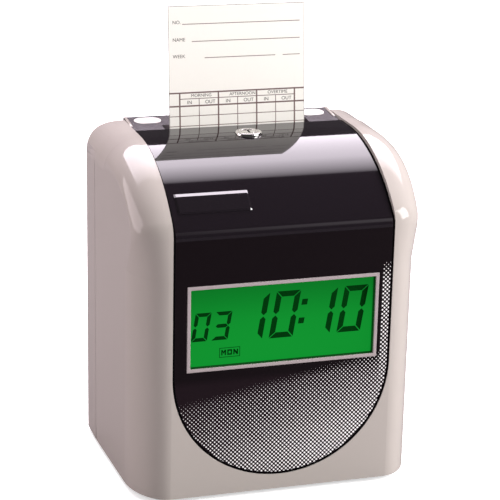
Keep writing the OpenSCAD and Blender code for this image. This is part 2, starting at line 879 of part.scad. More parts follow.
// Front card guide with windows for the rollers and the print line
module guide_front() {
    color("dimgray") difference() {
        block([-guide_half, guide_front_y, guide_low], [guide_half, guide_front_y + guide_t, guide_top]);
        for (s = [-1, 1])
            block([s * roller_x - roller_w / 2 - roller_room, guide_front_y - nib, feed_z - feed_r],
                  [s * roller_x + roller_w / 2 + roller_room, frame_rear + nib, feed_z + feed_r]);
        along_y(guide_front_y - nib, guide_front_y + guide_t + nib) translate([0, ribbon_z])
            round_rect(print_window, ribbon_h + 5, 3);
    }
}

// Rear card guide with side channels and ears for the pinch shaft
module guide_rear() {
    y0 = guide_rear_y;
    color("silver") difference() {
        union() {
            block([-guide_half, y0, guide_low], [guide_half, y0 + guide_t, guide_top]);
            for (s = [-1, 1]) {
                x = s > 0 ? card_w / 2 + card_side : -guide_half;
                block([x, frame_rear, guide_low],
                      [x + guide_half - card_w / 2 - card_side, y0, guide_top]);
                along_x(s * pinch_ear_x - pinch_ear_t / 2, s * pinch_ear_x + pinch_ear_t / 2) {
                    translate([pinch_y, feed_z]) circle(pinch_ear_r);
                    translate([y0, feed_z - pinch_ear_r]) square([pinch_y - y0, 2 * pinch_ear_r]);
                }
            }
        }
        for (s = [-1, 1]) {
            block([s * roller_x - roller_w / 2 - roller_room, y0 - nib, feed_z - pinch_r],
                  [s * roller_x + roller_w / 2 + roller_room, y0 + guide_t + nib, feed_z + pinch_r]);
            rod_x(pinch_shaft_d + 2 * run_gap, s * pinch_ear_x - nib, s * pinch_ear_x + nib,
                  pinch_y, feed_z);
        }
        block([-print_window / 2, y0 - nib, ribbon_z - platen_h / 2],
              [print_window / 2, y0 + guide_t + nib, ribbon_z + platen_h / 2]);
    }
}

// Ledge that the card's lower edge rests on
module card_stop() {
    color("dimgray") block([-stop_w / 2, frame_rear, guide_low],
                           [stop_w / 2, guide_rear_y, card_low - seat_gap]);
}

// Hard rubber bar that backs the card at the print line
module platen() {
    front = guide_rear_y - platen_stand;
    seat = guide_rear_y + guide_t;
    half = platen_h / 2;
    color([0.2, 0.2, 0.2]) {
        block([-print_window / 2, front, ribbon_z - half], [print_window / 2, seat, ribbon_z + half]);
        block([-card_w / 2, seat, ribbon_z - half - platen_edge],
              [card_w / 2, seat + platen_edge, ribbon_z + half + platen_edge]);
    }
}

// Catch over the lock's cam
module lock_strike() {
    color("silver") {
        block([-strike_w / 2, strike_y, strike_z], [strike_w / 2, guide_front_y, strike_z + strike_t]);
        block([-strike_w / 2, guide_front_y - strike_t, strike_z - strike_drop],
              [strike_w / 2, guide_front_y, strike_z]);
    }
}

// Rail that the carriage runs on
module carriage_rail() {
    color("gainsboro") rod_x(rail_d, -frame_x - frame_t - 1, frame_x + frame_t + 1, rail_y, rail_z);
}

// Motor that turns the lead screw
module carriage_motor() {
    x0 = frame_x + frame_t;
    color("dimgray") difference() {
        union() {
            rod_x(screw_motor_d, x0 + screw_motor_flange, x0 + screw_motor_flange + screw_motor_l,
                  rail_y, screw_z);
            along_x(x0, x0 + screw_motor_flange) translate([rail_y, screw_z])
                round_rect(screw_motor_d + 12, screw_motor_d, 5);
        }
        rod_x(screw_d + 2 * run_gap, x0 - nib, x0 + screw_motor_l - 2 * nib, rail_y, screw_z);
    }
}

// Screw that moves the carriage
module lead_screw() {
    end = frame_x + frame_t;
    color("gainsboro") rod_x(screw_d, -end - 2 * nib, end + screw_motor_l - 4 * nib, rail_y, screw_z);
}

// Carriage on the rail and the screw
module carriage() {
    color([0.25, 0.25, 0.28]) difference() {
        along_x(-carriage_w / 2, carriage_w / 2) carriage_outline();
        rod_x(rail_d + 2 * run_gap, -carriage_w, carriage_w, rail_y, rail_z);
        rod_x(screw_d + 2 * run_gap, -carriage_w, carriage_w, rail_y, screw_z);
    }
}

// Side outline of the carriage
module carriage_outline() {
    translate([rail_y, rail_z]) circle(rail_d / 2 + carriage_boss);
    translate([rail_y, screw_z]) circle(screw_d / 2 + carriage_boss);
    translate([rail_y - carriage_web / 2, screw_z]) square([carriage_web, screw_drop]);
    translate([rail_y, rail_z + carriage_boss - carriage_web]) square([carriage_arm, carriage_web]);
}

// Print head with cooling fins and its nose
module print_head() {
    half = head_w / 2;
    low = rail_z + carriage_boss;
    top = ribbon_z + head_d - nib;
    nose = ribbon_y - 2 * seat_gap;
    color("silver") {
        block([-half, head_y, low], [half, head_y + head_d, top]);
        for (i = [0:fins - 1]) translate([-half, head_y, top + 2 * fin_t * i]) cube([head_w, head_d, fin_t]);
        block([-half + 2 * nib, head_y + nib, top - nib],
              [half - 2 * nib, head_y + head_d - nib, top + 2 * fin_t * fins - fin_t]);
        block([-nose_half, head_y + head_d, ribbon_z - nose_h / 2],
              [nose_half, nose, ribbon_z + nose_h / 2]);
    }
}

// Ribbon cassette with its two arms
module ribbon_cassette() {
    color([0.12, 0.12, 0.13]) difference() {
        union() {
            translate([0, (cassette_front + cassette_rear) / 2, frame_top]) linear_extrude(cassette_h)
                round_rect(2 * frame_x + 2 * frame_t, cassette_rear - cassette_front, 6);
            for (s = [-1, 1]) {
                x = s > 0 ? arm_x : -arm_x - arm_w;
                block([x, cassette_rear - arm_w, ribbon_z - arm_drop],
                      [x + arm_w, ribbon_y, frame_top + arm_drop]);
            }
        }
        translate([knob_x, knob_y, frame_top + cassette_h - knob_h - nib])
            cylinder(d = knob_stem_d + 2 * run_gap, h = knob_h + 2 * nib);
    }
}

// Inked ribbon across the print line
module ribbon() {
    color("indigo") block([-arm_x - arm_w, ribbon_y, ribbon_z - ribbon_h / 2],
                          [arm_x + arm_w, ribbon_y + ribbon_t, ribbon_z + ribbon_h / 2]);
}

// Knob that takes up the ribbon's slack
module ribbon_knob() {
    z0 = frame_top + cassette_h;
    color("darkslateblue") translate([knob_x, knob_y, z0]) {
        translate([0, 0, -knob_h]) cylinder(d = knob_stem_d, h = knob_h + nib);
        difference() {
            translate([0, 0, seat_gap]) cylinder(d = knob_d, h = knob_h);
            for (i = [0:knob_grips - 1]) rotate(360 / knob_grips * i)
                translate([knob_d / 2 + seat_gap, 0, 0]) cylinder(d = 2, h = 2 * knob_h);
        }
    }
}

// Motor of the card feed
module feed_motor() {
    color("dimgray") difference() {
        rod_x(motor_d, -frame_x, -frame_x + motor_l, motor_y, feed_z);
        rod_x(motor_shaft_d + 2 * run_gap, -frame_x - nib, -frame_x + motor_l - 3 * nib, motor_y, feed_z);
    }
}

// Pinion on the motor's shaft
module motor_pinion() {
    color("goldenrod") {
        along_x(gear_x, gear_x + gear_t) translate([motor_y, feed_z]) rotate(180 / pinion_teeth)
            gear_outline(pinion_teeth);
        rod_x(motor_shaft_d, gear_x, -frame_x + motor_l - 4 * nib, motor_y, feed_z);
    }
}

// Shaft of the card feed
module feed_shaft() {
    color("gainsboro") rod_x(feed_shaft_d, gear_x, frame_x + frame_t + 2, feed_y, feed_z);
}

// Rubber rollers on the feed shaft
module feed_rollers() {
    color("dimgray") for (s = [-1, 1]) difference() {
        rod_x(2 * feed_r, s * roller_x - roller_w / 2, s * roller_x + roller_w / 2, feed_y, feed_z);
        rod_x(feed_shaft_d, s * roller_x - roller_w, s * roller_x + roller_w, feed_y, feed_z);
    }
}

// Gear on the feed shaft
module feed_gear() {
    color("ivory") difference() {
        along_x(gear_x, gear_x + gear_t) translate([feed_y, feed_z]) gear_outline(gear_teeth);
        rod_x(feed_shaft_d, gear_x - nib, gear_x + gear_t + nib, feed_y, feed_z);
    }
}

// Pinch rollers behind the card, on one shaft
module pinch_rollers() {
    color("dimgray") {
        rod_x(pinch_shaft_d, -pinch_ear_x - 2 * nib, pinch_ear_x + 2 * nib, pinch_y, feed_z);
        for (s = [-1, 1])
            rod_x(2 * pinch_r, s * roller_x - roller_w / 2, s * roller_x + roller_w / 2, pinch_y, feed_z);
    }
}

// Setting buttons

// Plate across the side frames that guides the buttons
module button_plate() {
    color("dimgray") difference() {
        block([-frame_x - frame_t, button_plate_y, button_z - plate_h / 2],
              [frame_x + frame_t, frame_front, button_z + plate_h / 2]);
        at_buttons() rod_y(button_d + 2 * run_gap, button_plate_y - nib, frame_front + nib, 0, button_z);
    }
}

// Places of the buttons
module at_buttons() {
    for (i = [0:3]) translate([button_pitch * (i - 1.5), 0, 0]) children();
}

// Board with the switches behind the buttons
module button_board() {
    color("darkgreen") {
        block([-frame_x, switch_board_y, button_z - switch_board_h / 2],
              [frame_x, switch_board_y + board_t, button_z + switch_board_h / 2]);
        at_buttons() block([-switch_half, switch_board_y - switch_h, button_z - switch_half],
                           [switch_half, switch_board_y, button_z + switch_half]);
    }
}

// One button with its flange and stem
module button(i) {
    flange_y = frame_front + seat_gap;
    translate([button_pitch * (i - 1.5), 0, 0]) {
        rod_y(button_d, button_plate_y - button_cap, flange_y + button_flange, 0, button_z);
        rod_y(button_d + 2 * button_lip, flange_y, flange_y + button_flange, 0, button_z);
        rod_y(stem_d, flange_y, switch_board_y - switch_h - button_travel - seat_gap, 0, button_z);
    }
}

module mode_button() {
    color("white") button(0);
}

module up_button() {
    color("white") button(1);
}

module down_button() {
    color("white") button(2);
}

module set_button() {
    color("firebrick") button(3);
}

// Front cover

// Pins that the cover turns on
module hinge_pins() {
    inner = ear_x - 2 * nib;
    outer = lug_x + lug_t + 2 * nib;
    color("gainsboro") for (x = [-outer, inner]) rod_x(pin_d, x, x + outer - inner, hinge_y, hinge_z);
}

// Moulded cover with rounded shoulders and the panel's opening
module cover_shell() {
    color("antiquewhite") difference() {
        union() {
            difference() {
                skin(cover_rings(0, cover_y, low_z, hinge_relief));
                skin(cover_rings(wall, cover_y + hollow_run, low_z - hollow_run, 0));
                along_y(front_y - nib, cover_y + nib)
                    u_outline(shoulder_x, panel_low - panel_gap, case_h + nib);
            }
            panel_ledge();
            for (x = [-lug_x - lug_t, lug_x]) along_x(x, x + lug_t) {
                translate([hinge_y, hinge_z]) circle(ear_r);
                translate([front_y + wall / 2, hinge_z - ear_r])
                    square([hinge_y - front_y - wall / 2, 2 * ear_r]);
            }
        }
        for (x = [-lug_x - lug_t, lug_x])
            rod_x(pin_d + 2 * run_gap, x - nib, x + lug_t + nib, hinge_y, hinge_z);
    }
}

// Narrow ledge behind the panel's edge, clear of the display's frame
module panel_ledge() {
    intersection() {
        along_x(-case_w, case_w) panel_band(panel_t, panel_t + wall, cover_y, panel_low - 2 * wall);
        along_y(front_y - nib, cover_y + nib) difference() {
            u_outline(shoulder_x + wall, panel_low - panel_gap - wall, case_h + nib);
            u_outline(panel_w / 2 - ledge_w, panel_low + ledge_w, case_h + 2 * nib);
            translate([0, display_z]) square([frame_room + bezel_w, frame_room + bezel_h], center = true);
        }
    }
}

// Dark panel from the slot over the crest and down the front
module front_panel() {
    color([0.13, 0.11, 0.13]) difference() {
        union() {
            intersection() {
                along_x(-panel_w / 2, panel_w / 2) panel_band(0, panel_t, cover_y, panel_low);
                along_y(front_y - nib, cover_y + nib) u_outline(panel_w / 2, panel_low, case_h + nib);
            }
            at_display_bosses() rod_y(boss_d, panel_back - panel_t / 2, board_y, 0, 0);
        }
        along_y(front_y - nib, panel_back + nib) translate([0, display_z])
            square([bezel_w + 2 * seat_gap, bezel_h + 2 * seat_gap], center = true);
        along_y(front_y - nib, panel_front + face_t) face_outline(0);
        translate([0, lock_y, panel_top - 2 * panel_t]) cylinder(d = barrel_d, h = 4 * panel_t);
        translate([0, lock_y, lock_seat]) cylinder(d = lock_d + 2 * run_gap, h = 2 * panel_t);
        at_display_bosses() rod_y(small_screw_d, board_y + board_t - small_screw_l, board_y + nib, 0, 0);
    }
}

// Outline of the printed face plate, drawn in by a gap
module face_outline(gap) {
    u_outline(panel_w / 2 - face_edge - gap, panel_low + face_edge + gap, kink_z - face_edge - gap);
}

// Printed plate on the flat of the panel
module face_plate() {
    color([0.08, 0.06, 0.08]) along_y(panel_front, panel_front + face_t) difference() {
        face_outline(run_gap);
        translate([0, display_z]) square([bezel_w + 2 * seat_gap, bezel_h + 2 * seat_gap], center = true);
    }
}

// Blank badge plate on the crest
module badge_plate() {
    half_turn = badge_l / 2 / panel_crest_r * 180 / PI;
    x0 = -panel_w / 2 + badge_edge;
    color([0.3, 0.28, 0.32]) along_x(x0, x0 + badge_w) polygon([
        for (d = [0, 1], i = [0:6]) let (a = badge_turn + half_turn * (d > 0 ? 3 - i : i - 3) / 3,
            r = panel_crest_r + d * badge_t)
            [panel_hub_y - r * sin(a), panel_hub_z + r * cos(a)]
    ]);
}

// Bezel with a flange behind the panel
module lcd_bezel() {
    color([0.75, 0.7, 0.72]) difference() {
        union() {
            along_y(front_y, panel_back + bezel_flange_t) translate([0, display_z])
                square([bezel_w, bezel_h], center = true);
            along_y(panel_back, panel_back + bezel_flange_t) translate([0, display_z])
                square([bezel_w + 2 * bezel_flange, bezel_h + 2 * bezel_flange], center = true);
        }
        along_y(front_y - nib, glass_y + nib) translate([0, display_z])
            square([bezel_w - 2 * bezel_strip, bezel_h - 2 * bezel_strip], center = true);
    }
}

// Display glass
module lcd_glass() {
    color("seagreen") along_y(glass_y, glass_y + glass_t) translate([0, display_z])
        square([bezel_w + bezel_flange, bezel_h + bezel_flange], center = true);
}

// Light guide behind the glass
module backlight() {
    color("white") along_y(backlight_y, backlight_y + backlight_t) translate([0, display_z])
        square([bezel_w + bezel_flange, bezel_h + bezel_flange], center = true);
}

// Display board on the panel's bosses
module display_board() {
    margin = (boss_d + nib) / 2;
    color("darkgreen") difference() {
        along_y(board_y, board_y + board_t) translate([0, display_z])
            square([2 * (display_boss_x + margin), 2 * (display_boss_z + margin)], center = true);
        at_display_bosses() rod_y(small_screw_d + screw_pass, board_y - nib, board_y + board_t + nib, 0, 0);
    }
}

// Screws of the display board
module display_screws() {
    color("gainsboro") at_display_bosses() translate([0, board_y + board_t, 0]) rotate([90, 0, 0])
        screw(small_screw_d, small_screw_l, small_head_d, small_head_h);
}

// Lock

// Lock body with its flange on the panel
module lock_barrel() {
    color("silver") translate([0, lock_y, 0]) rotate_extrude() polygon([
        [plug_d / 2 + run_gap, barrel_low], [barrel_d / 2, barrel_low], [barrel_d / 2, lock_seat],
        [lock_d / 2, lock_seat], [lock_d / 2, lock_seat + lock_flange_h - lock_bevel],
        [lock_d / 2 - lock_bevel, lock_seat + lock_flange_h],
        [plug_d / 2 + run_gap, lock_seat + lock_flange_h]
    ]);
}

// Nut that clamps the lock to the panel
module lock_nut() {
    color("goldenrod") translate([0, lock_y, nut_top - nut_h]) difference() {
        linear_extrude(nut_h) circle(d = nut_d, $fn = 6);
        translate([0, 0, -nib]) cylinder(d = barrel_d, h = nut_h + 2 * nib);
    }
}

// Plug that turns in the barrel, with its keyway
module lock_plug() {
    top = lock_seat + lock_flange_h - seat_gap;
    color("gainsboro") translate([0, lock_y, 0]) difference() {
        translate([0, 0, plug_low]) cylinder(d = plug_d, h = top - plug_low);
        block([-key_w / 2, -key_l / 2, top - key_depth], [key_w / 2, key_l / 2, top + nib]);
    }
}

// Cam at the plug's end, turned aside when unlocked
module lock_cam() {
    color("silver") translate([0, lock_y, plug_low - cam_t]) linear_extrude(cam_t) {
        circle(cam_w / 2);
        translate([-cam_l, -cam_w / 2 + nib / 2]) square([cam_l, cam_w - nib]);
    }
}

// Card

// Time card standing in the slot, bent back a little where it leaves the guides
module time_card() {
    bend_z = panel_top - mouth_d - nib;
    hub_y = card_y + card_bend_r;
    left = card_l - (bend_z - card_low) - card_bend_r * card_lean * PI / 180;
    inner = card_bend_r - card_t;
    tip = [sin(card_lean), cos(card_lean)] * left;
    front = [for (i = [0:card_bend_steps]) let (a = card_lean * i / card_bend_steps)
        [hub_y - card_bend_r * cos(a), bend_z + card_bend_r * sin(a)]];
    rear = [for (i = [card_bend_steps:-1:0]) let (a = card_lean * i / card_bend_steps)
        [hub_y - inner * cos(a), bend_z + inner * sin(a)]];
    color("ivory") along_x(-card_w / 2, card_w / 2) polygon(concat(
        [[card_y, card_low]], front, [front[card_bend_steps] + tip, rear[0] + tip], rear,
        [[card_y + card_t, card_low]]
    ));
}

base_tray();
feet();
foot_screws();
rear_case();
top_cap();
oval_inlays();
inlet_socket();
case_screws();
main_board();
board_parts();
board_screws();
transformer();
backup_battery();
side_frame_left();
side_frame_right();
frame_screws();
guide_front();
guide_rear();
card_stop();
platen();
lock_strike();
carriage_rail();
carriage_motor();
lead_screw();
carriage();
print_head();
ribbon_cassette();
ribbon();
ribbon_knob();
feed_motor();
motor_pinion();
feed_shaft();
feed_rollers();
feed_gear();
pinch_rollers();
button_plate();
button_board();
mode_button();
up_button();
down_button();
set_button();
hinge_pins();
cover_shell();
front_panel();
face_plate();
badge_plate();
lcd_bezel();
lcd_glass();
backlight();
display_board();
display_screws();
lock_barrel();
lock_nut();
lock_plug();
lock_cam();
time_card();
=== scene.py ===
import json
import math

import bmesh
import bpy
from bpy.props import FloatProperty, FloatVectorProperty, IntProperty, PointerProperty
from mathutils import Matrix, Vector


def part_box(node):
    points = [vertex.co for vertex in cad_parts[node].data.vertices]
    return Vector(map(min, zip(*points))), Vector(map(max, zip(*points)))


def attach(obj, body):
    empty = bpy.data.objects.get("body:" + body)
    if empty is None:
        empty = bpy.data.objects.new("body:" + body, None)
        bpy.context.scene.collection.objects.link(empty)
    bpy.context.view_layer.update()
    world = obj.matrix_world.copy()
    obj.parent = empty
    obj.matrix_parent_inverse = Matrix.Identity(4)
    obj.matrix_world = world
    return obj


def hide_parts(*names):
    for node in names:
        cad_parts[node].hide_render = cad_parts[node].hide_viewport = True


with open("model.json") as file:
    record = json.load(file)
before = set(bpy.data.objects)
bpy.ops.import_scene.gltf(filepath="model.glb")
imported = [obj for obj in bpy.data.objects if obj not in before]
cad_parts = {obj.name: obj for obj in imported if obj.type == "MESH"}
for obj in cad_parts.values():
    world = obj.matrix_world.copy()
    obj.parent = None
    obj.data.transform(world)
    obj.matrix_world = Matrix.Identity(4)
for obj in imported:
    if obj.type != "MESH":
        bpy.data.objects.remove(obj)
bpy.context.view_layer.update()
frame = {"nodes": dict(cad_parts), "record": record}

bl_info = {
    "name": "Time Clock Looks",
    "version": (1, 0, 0),
    "blender": (4, 5, 0),
    "location": "View3D > Sidebar > Time Clock",
    "description": "Moulded cover, glossy panel, backlit display, card and works of a time clock",
    "category": "Object",
}

MM = 0.001
FRAME_BOX = {name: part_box(name) for name in frame["nodes"]}


def box_mm(node):
    """Lower and upper corner of a CAD node, in millimetres"""
    return [corner / MM for corner in FRAME_BOX[node]]


def middle(node):
    """Centre of a CAD node's box, in millimetres"""
    return [(a + b) / 2 for a, b in zip(*box_mm(node))]


# Studio light, in metres and watts

SOFTBOX_LEVEL = 7.8
SOFTBOX_TINT = (0.98, 0.89, 0.98)
FRONT_CARD_LEVEL = 0.8
FRONT_CARD_TINT = (1.0, 0.92, 0.97)
WORLD_LEVEL = 0.32
WORLD_TINT = (1.0, 0.97, 0.96)
LAMP_TARGET = Vector((0.0, 0.0, 0.1))

# Lamps: place, width, height, power and tint

LAMPS = {
    "key": ((1.35, -0.85, 0.85), 0.9, 1.2, 44.0, (1.0, 0.985, 0.985)),
    "fill": ((-1.5, 0.55, 0.55), 1.2, 1.0, 12.4, (1.0, 0.87, 0.90)),
}

# Camera fitted to the photo: angles in degrees, place in metres, focal length in picture pixels

CAMERA_DOWN = 17.816
CAMERA_YAW = 17.384
CAMERA_ROLL = 1.25
CAMERA_PLACE = (-0.31267, -0.99274, 0.4647)
FOCAL_PIXELS = 1831
PICTURE_PIXELS = 500
SENSOR_WIDTH = 36

# Print on the time card: drops from its top edge and places from its middle, in millimetres

WRITING_LINES = ((11.0, -33.8, 39.5), (21.3, -28.0, 39.5), (31.2, -20.2, 24.0), (31.2, 28.7, 39.5))
HEAD_DROP = 51.7
SUBHEAD_DROP = 55.3
BODY_DROP = 59.6
ROW_HEIGHT = 6.0
TABLE_LEFT = -35.9
COLUMN_WIDTH = 12.0
COLUMNS = 6
THIN_LINE = 0.45
BOLD_LINE = 0.9
NOTE_LEFT = -39.8
NOTE_HEIGHT = 2.0
NOTES = (("NO.", 10.8), ("NAME", 21.1), ("WEEK", 31.0))
PERIODS = ("MORNING", "AFTERNOON", "OVERTIME")
PERIOD_LEFT = -29
PERIOD_DROP = 54.6
PERIOD_HEIGHT = 1.9
IN_LEFT = -31.4
OUT_SHIFT = COLUMN_WIDTH - 0.8
IN_OUT_DROP = 58.7
IN_OUT_HEIGHT = 2.1

# Display: shares of the window from its left and its top, and strokes in millimetres

DATE_DIGITS = (("0", 0.040, 0.122), ("3", 0.1435, 0.2295))
DATE_FOOT = 0.669
DATE_HEIGHT = 0.333
DATE_STROKE = 2.2
TIME_DIGITS = (("1", 0.284, 0.417), ("0", 0.452, 0.579), ("1", 0.646, 0.776), ("0", 0.8125, 0.940))
TIME_FOOT = 0.703
TIME_HEIGHT = 0.55
TIME_STROKE = 3.3
COLON_PLACE = 0.611
COLON_MIDDLE = 0.41
COLON_DOTS = (0.30, 0.52)
COLON_HALF_WIDTH = 1.7
COLON_HALF_HEIGHT = 1.75
DAY_LEFT = 0.176
DAY_FOOT = 0.881
DAY_WIDTH = 0.108
DAY_HEIGHT = 0.115
LIT_STROKES = {"0": "abcdef", "1": "bc", "3": "abcdg"}
INK_DEPTH = 0.05

# Height of the lock's flange, which sits in the panel, in millimetres

LOCK_FLANGE = 2.2


# Settings that a user would change

def length(name, description, millimetres):
    return FloatProperty(name=name, description=description, default=millimetres * MM, unit="LENGTH")


def angle(name, description, degrees):
    return FloatProperty(name=name, description=description, default=math.radians(degrees), subtype="ANGLE")


def colour(name, description, default):
    return FloatVectorProperty(
        name=name, description=description, default=default, size=3, min=0, max=1, subtype="COLOR")


class ClockSizes(bpy.types.PropertyGroup):
    """Sizes of the visual model that the boxes of the CAD nodes do not give"""
    wall: length("Wall", "Thickness of the moulded cover", 2.4)
    edge: length("Edge radius", "Rounding of the moulded edges", 0.5)
    rim_half: length("Rim half width", "Half the width between the rims", 65.5)
    rim_radius: length("Rim arc", "Radius of the rim's long arc", 100)
    rim_bend: length("Rim bend", "Radius between the rim's arc and its front", 14)
    panel_radius: length("Panel arc", "Radius of the panel's long arc", 110)
    panel_bend: length("Panel bend", "Radius at the panel's fold", 8)
    turn: angle("Crest turn", "Angle of the long arc", 46)
    top_drop: length("Top shoulder", "Fall of the shoulder at the top", 19.4)
    crest_drop: length("Crest shoulder", "Fall of the shoulder half way round", 13)
    front_drop: length("Front shoulder", "Fall of the shoulder at the front", 30.6)
    draft: length("Side draft", "How much narrower each side is at the front", 4)
    dot_pitch: length("Dot pitch", "Spacing of the printed dots", 2.5)
    card_lean: angle("Card lean", "Backward lean of the time card", 5.3)
    digit_slant: angle("Digit slant", "Lean of the display's digits", 9)
    screw_lead: length("Screw lead", "Lead of the carriage screw", 8)
    segments: IntProperty(
        name="Segments", description="Segments of turned pieces", default=96, min=24, max=256)


class ClockColours(bpy.types.PropertyGroup):
    """Colours of the visual model"""
    case: colour("Case", "Moulded housing", (0.48, 0.435, 0.405))
    panel: colour("Panel", "Glossy dark panel", (0.010, 0.007, 0.010))
    face: colour("Face", "Printed face behind the dots", (0.006, 0.003, 0.0045))
    dots: colour("Dots", "Printed dots", (0.96, 0.94, 0.94))
    trim: colour("Trim", "Frame round the display", (0.40, 0.34, 0.35))
    screen: colour("Screen", "Backlit display", (0.005, 0.285, 0.028))
    digits: colour("Digits", "Dark parts of the display", (0.001, 0.035, 0.004))
    paper: colour("Card", "Card stock", (0.95, 0.92, 0.86))
    ink: colour("Ink", "Lines printed on the card", (0.10, 0.035, 0.033))


# Shader arithmetic

def operation(kind):
    """A method that feeds a term and other values to a math node"""

    def apply(term, *others):
        inputs = dict(enumerate((term, *others)))
        return term.shader.add("ShaderNodeMath", {"operation": kind}, inputs)

    return apply


class Term:
    """A shader socket that takes part in Python expressions"""
    __add__ = operation("ADD")
    __radd__ = __add__
    __sub__ = operation("SUBTRACT")
    __mul__ = operation("MULTIPLY")
    __truediv__ = operation("DIVIDE")
    __pow__ = operation("POWER")
    __abs__ = operation("ABSOLUTE")
    __lt__ = operation("LESS_THAN")
    __gt__ = operation("GREATER_THAN")
    lower = operation("MINIMUM")
    higher = operation("MAXIMUM")
    fraction = operation("FRACT")
    root = operation("SQRT")

    def __init__(self, shader, socket):
        self.shader = shader
        self.socket = socket

    def __rsub__(self, other):
        return self.shader.add("ShaderNodeMath", {"operation": "SUBTRACT"}, {0: other, 1: self})

    def ramp(self, low, high):
        """0 at low, 1 at high and smooth between"""
        return self.shader.add("ShaderNodeMapRange", {"interpolation_type": "SMOOTHSTEP"},
                               {"Value": self, "From Min": low, "From Max": high})


class Shader:
    """A material, or the world, and the nodes that feed its surface"""

    def __init__(self, name, world=None):
        self.material = world or bpy.data.materials.new(name)
        self.material.use_nodes = True
        self.tree = self.material.node_tree
        self.surface = self.tree.nodes["Background" if world else "Principled BSDF"]

    def feed(self, node, key, value):
        if isinstance(value, Term):
            self.tree.links.new(value.socket, node.inputs[key])
        elif node.inputs[key].type == "RGBA":
            node.inputs[key].default_value = (*value, 1.0)
        else:
            node.inputs[key].default_value = value

    def add(self, kind, settings, inputs, output=0):
        node = self.tree.nodes.new(kind)
        for key, value in settings.items():
            setattr(node, key, value)
        for key, value in inputs.items():
            self.feed(node, key, value)
        return Term(self, node.outputs[output])

    def point(self):
        """Object coordinates, in metres"""
        return self.add("ShaderNodeTexCoord", {}, {}, "Object")

    def along(self, axis):
        """One of the object coordinates X, Y and Z, in metres"""
        return self.add("ShaderNodeSeparateXYZ", {}, {0: self.point()}, axis)

    def ray(self, kind):
        """1 for rays of a kind, such as Is Camera Ray, and 0 for others"""
        return self.add("ShaderNodeLightPath", {}, {}, kind)

    def noise(self, scale, detail=2.0, stretch=(1, 1, 1)):
        point = self.add("ShaderNodeMapping", {}, {"Vector": self.point(), "Scale": stretch})
        return self.add("ShaderNodeTexNoise", {}, {"Vector": point, "Scale": scale, "Detail": detail})

    def mix(self, factor, first, second):
        return self.add("ShaderNodeMix", {"data_type": "RGBA"}, {0: factor, 6: first, 7: second}, 2)

    def scaled(self, tint, share):
        return self.add("ShaderNodeVectorMath", {"operation": "SCALE"}, {0: tint, "Scale": share})

    def bump(self, height, strength, distance):
        return self.add("ShaderNodeBump", {}, {"Height": height, "Strength": strength, "Distance": distance})

    def paint(self, values):
        for key, value in values.items():
            self.feed(self.surface, key, value)


def dimmed(tint, share):
    return [c * share for c in tint]


# Looks with a function of their own

def case_look(s, colours):
    """Smooth glossy moulding with a faint unevenness"""
    s.paint({
        "Base Color": s.mix(s.noise(9, 3), colours.case, dimmed(colours.case, 0.965)),
        "Roughness": 0.045 + s.noise(60, 3) * 0.03,
        "Normal": s.bump(s.noise(2600, 2), 0.03, 0.01 * MM),
        "Specular IOR Level": 0.34,
    })


def smoke_look(s, colours, shine=0.60):
    """Dark gloss of the panel"""
    s.paint({
        "Base Color": colours.panel,
        "Roughness": 0.035 + s.noise(45, 4) * 0.03,
        "Specular IOR Level": shine,
    })


def badge_look(s, colours):
    smoke_look(s, colours, shine=1.0)


def cap_look(s, colours):
    """Dark plastic of the cap, lighter and duller than the panel"""
    s.paint({
        "Base Color": (0.055, 0.045, 0.053),
        "Roughness": 0.22 + s.noise(80, 3) * 0.08,
        "Normal": s.bump(s.noise(3000, 2), 0.06, 0.02 * MM),
    })


def face_look(s, colours):
    """Black print with white dots on a diagonal grid, larger towards the bottom and the right; below a strip
    under the display the black ground is lightened as painted reflection
    """
    x = s.along("X")
    z = s.along("Z")
    pitch = bpy.context.scene.clock_sizes.dot_pitch
    low, high = FRAME_BOX["face_plate"]
    screen_low, screen_high = FRAME_BOX["lcd_bezel"]
    off_u = ((x + z) / pitch).fraction() - 0.5
    off_v = ((x - z) / pitch).fraction() - 0.5
    from_dot = (off_u ** 2 + off_v ** 2).root()
    fall = (screen_low.z - z) / (screen_low.z - low.z)
    lean = (x - low.x) / (high.x - low.x)
    # The dots begin past a border that is lower on the left
    border_start = 0.26
    border_tilt = 0.36
    past = fall + lean * border_tilt - border_start
    below = (past / 0.5).higher(0.0).lower(1.5).root() * 0.30 + lean * 0.13 + 0.10
    strip_top = screen_high.z + 5 * MM
    strip_growth = 12.5 * MM
    grown = ((strip_top - z) / strip_growth).higher(0.0).lower(1.0).root()
    beside = grown * 0.5 * (x > screen_high.x)
    size = (below * past.ramp(-0.06, 0.10)).higher(beside)
    dot = (size * 0.62 - from_dot).ramp(-0.015, 0.02) * (size > 0.05)
    # Painted reflection: the black ground is twice as light below a narrow strip under the display
    ground_and_painted_reflection = s.mix(fall.ramp(0.02, 0.12), colours.face, dimmed(colours.face, 2.0))
    s.paint({
        "Base Color": s.mix(dot, ground_and_painted_reflection, colours.dots),
        "Roughness": 0.3 + dot * 0.15,
        "Specular IOR Level": 0.2,
    })


def screen_look(s, colours):
    """Backlit display, dimmer towards the top and in the shade of its frame"""
    low, high = FRAME_BOX["lcd_glass"]
    up = (s.along("Z") - low.z) / (high.z - low.z)
    along = (s.along("X") - low.x) / (high.x - low.x)
    glow = 1.0 - up.ramp(0.45, 1.05) * 0.32 - (along - 0.45) ** 2 * 0.2
    shade = up.ramp(1.0, 0.93) * 0.3 + along.ramp(0.985, 0.965) * 0.7
    grain = s.noise(5200, 1) * 0.05 + 0.975
    tint = s.mix(up.ramp(0.2, 1.0), colours.screen, dimmed(colours.screen, 0.88))
    s.paint({
        "Base Color": (0.0, 0.008, 0.001),
        "Emission Color": s.scaled(tint, glow * grain * shade),
        "Emission Strength": 1.0,
        "Roughness": 0.2,
        "Specular IOR Level": 0.05,
    })


def ink_look(s, colours):
    """Dark strokes of the display, dull under its glass"""
    s.paint({"Base Color": colours.digits, "Roughness": 0.6, "Specular IOR Level": 0.0})


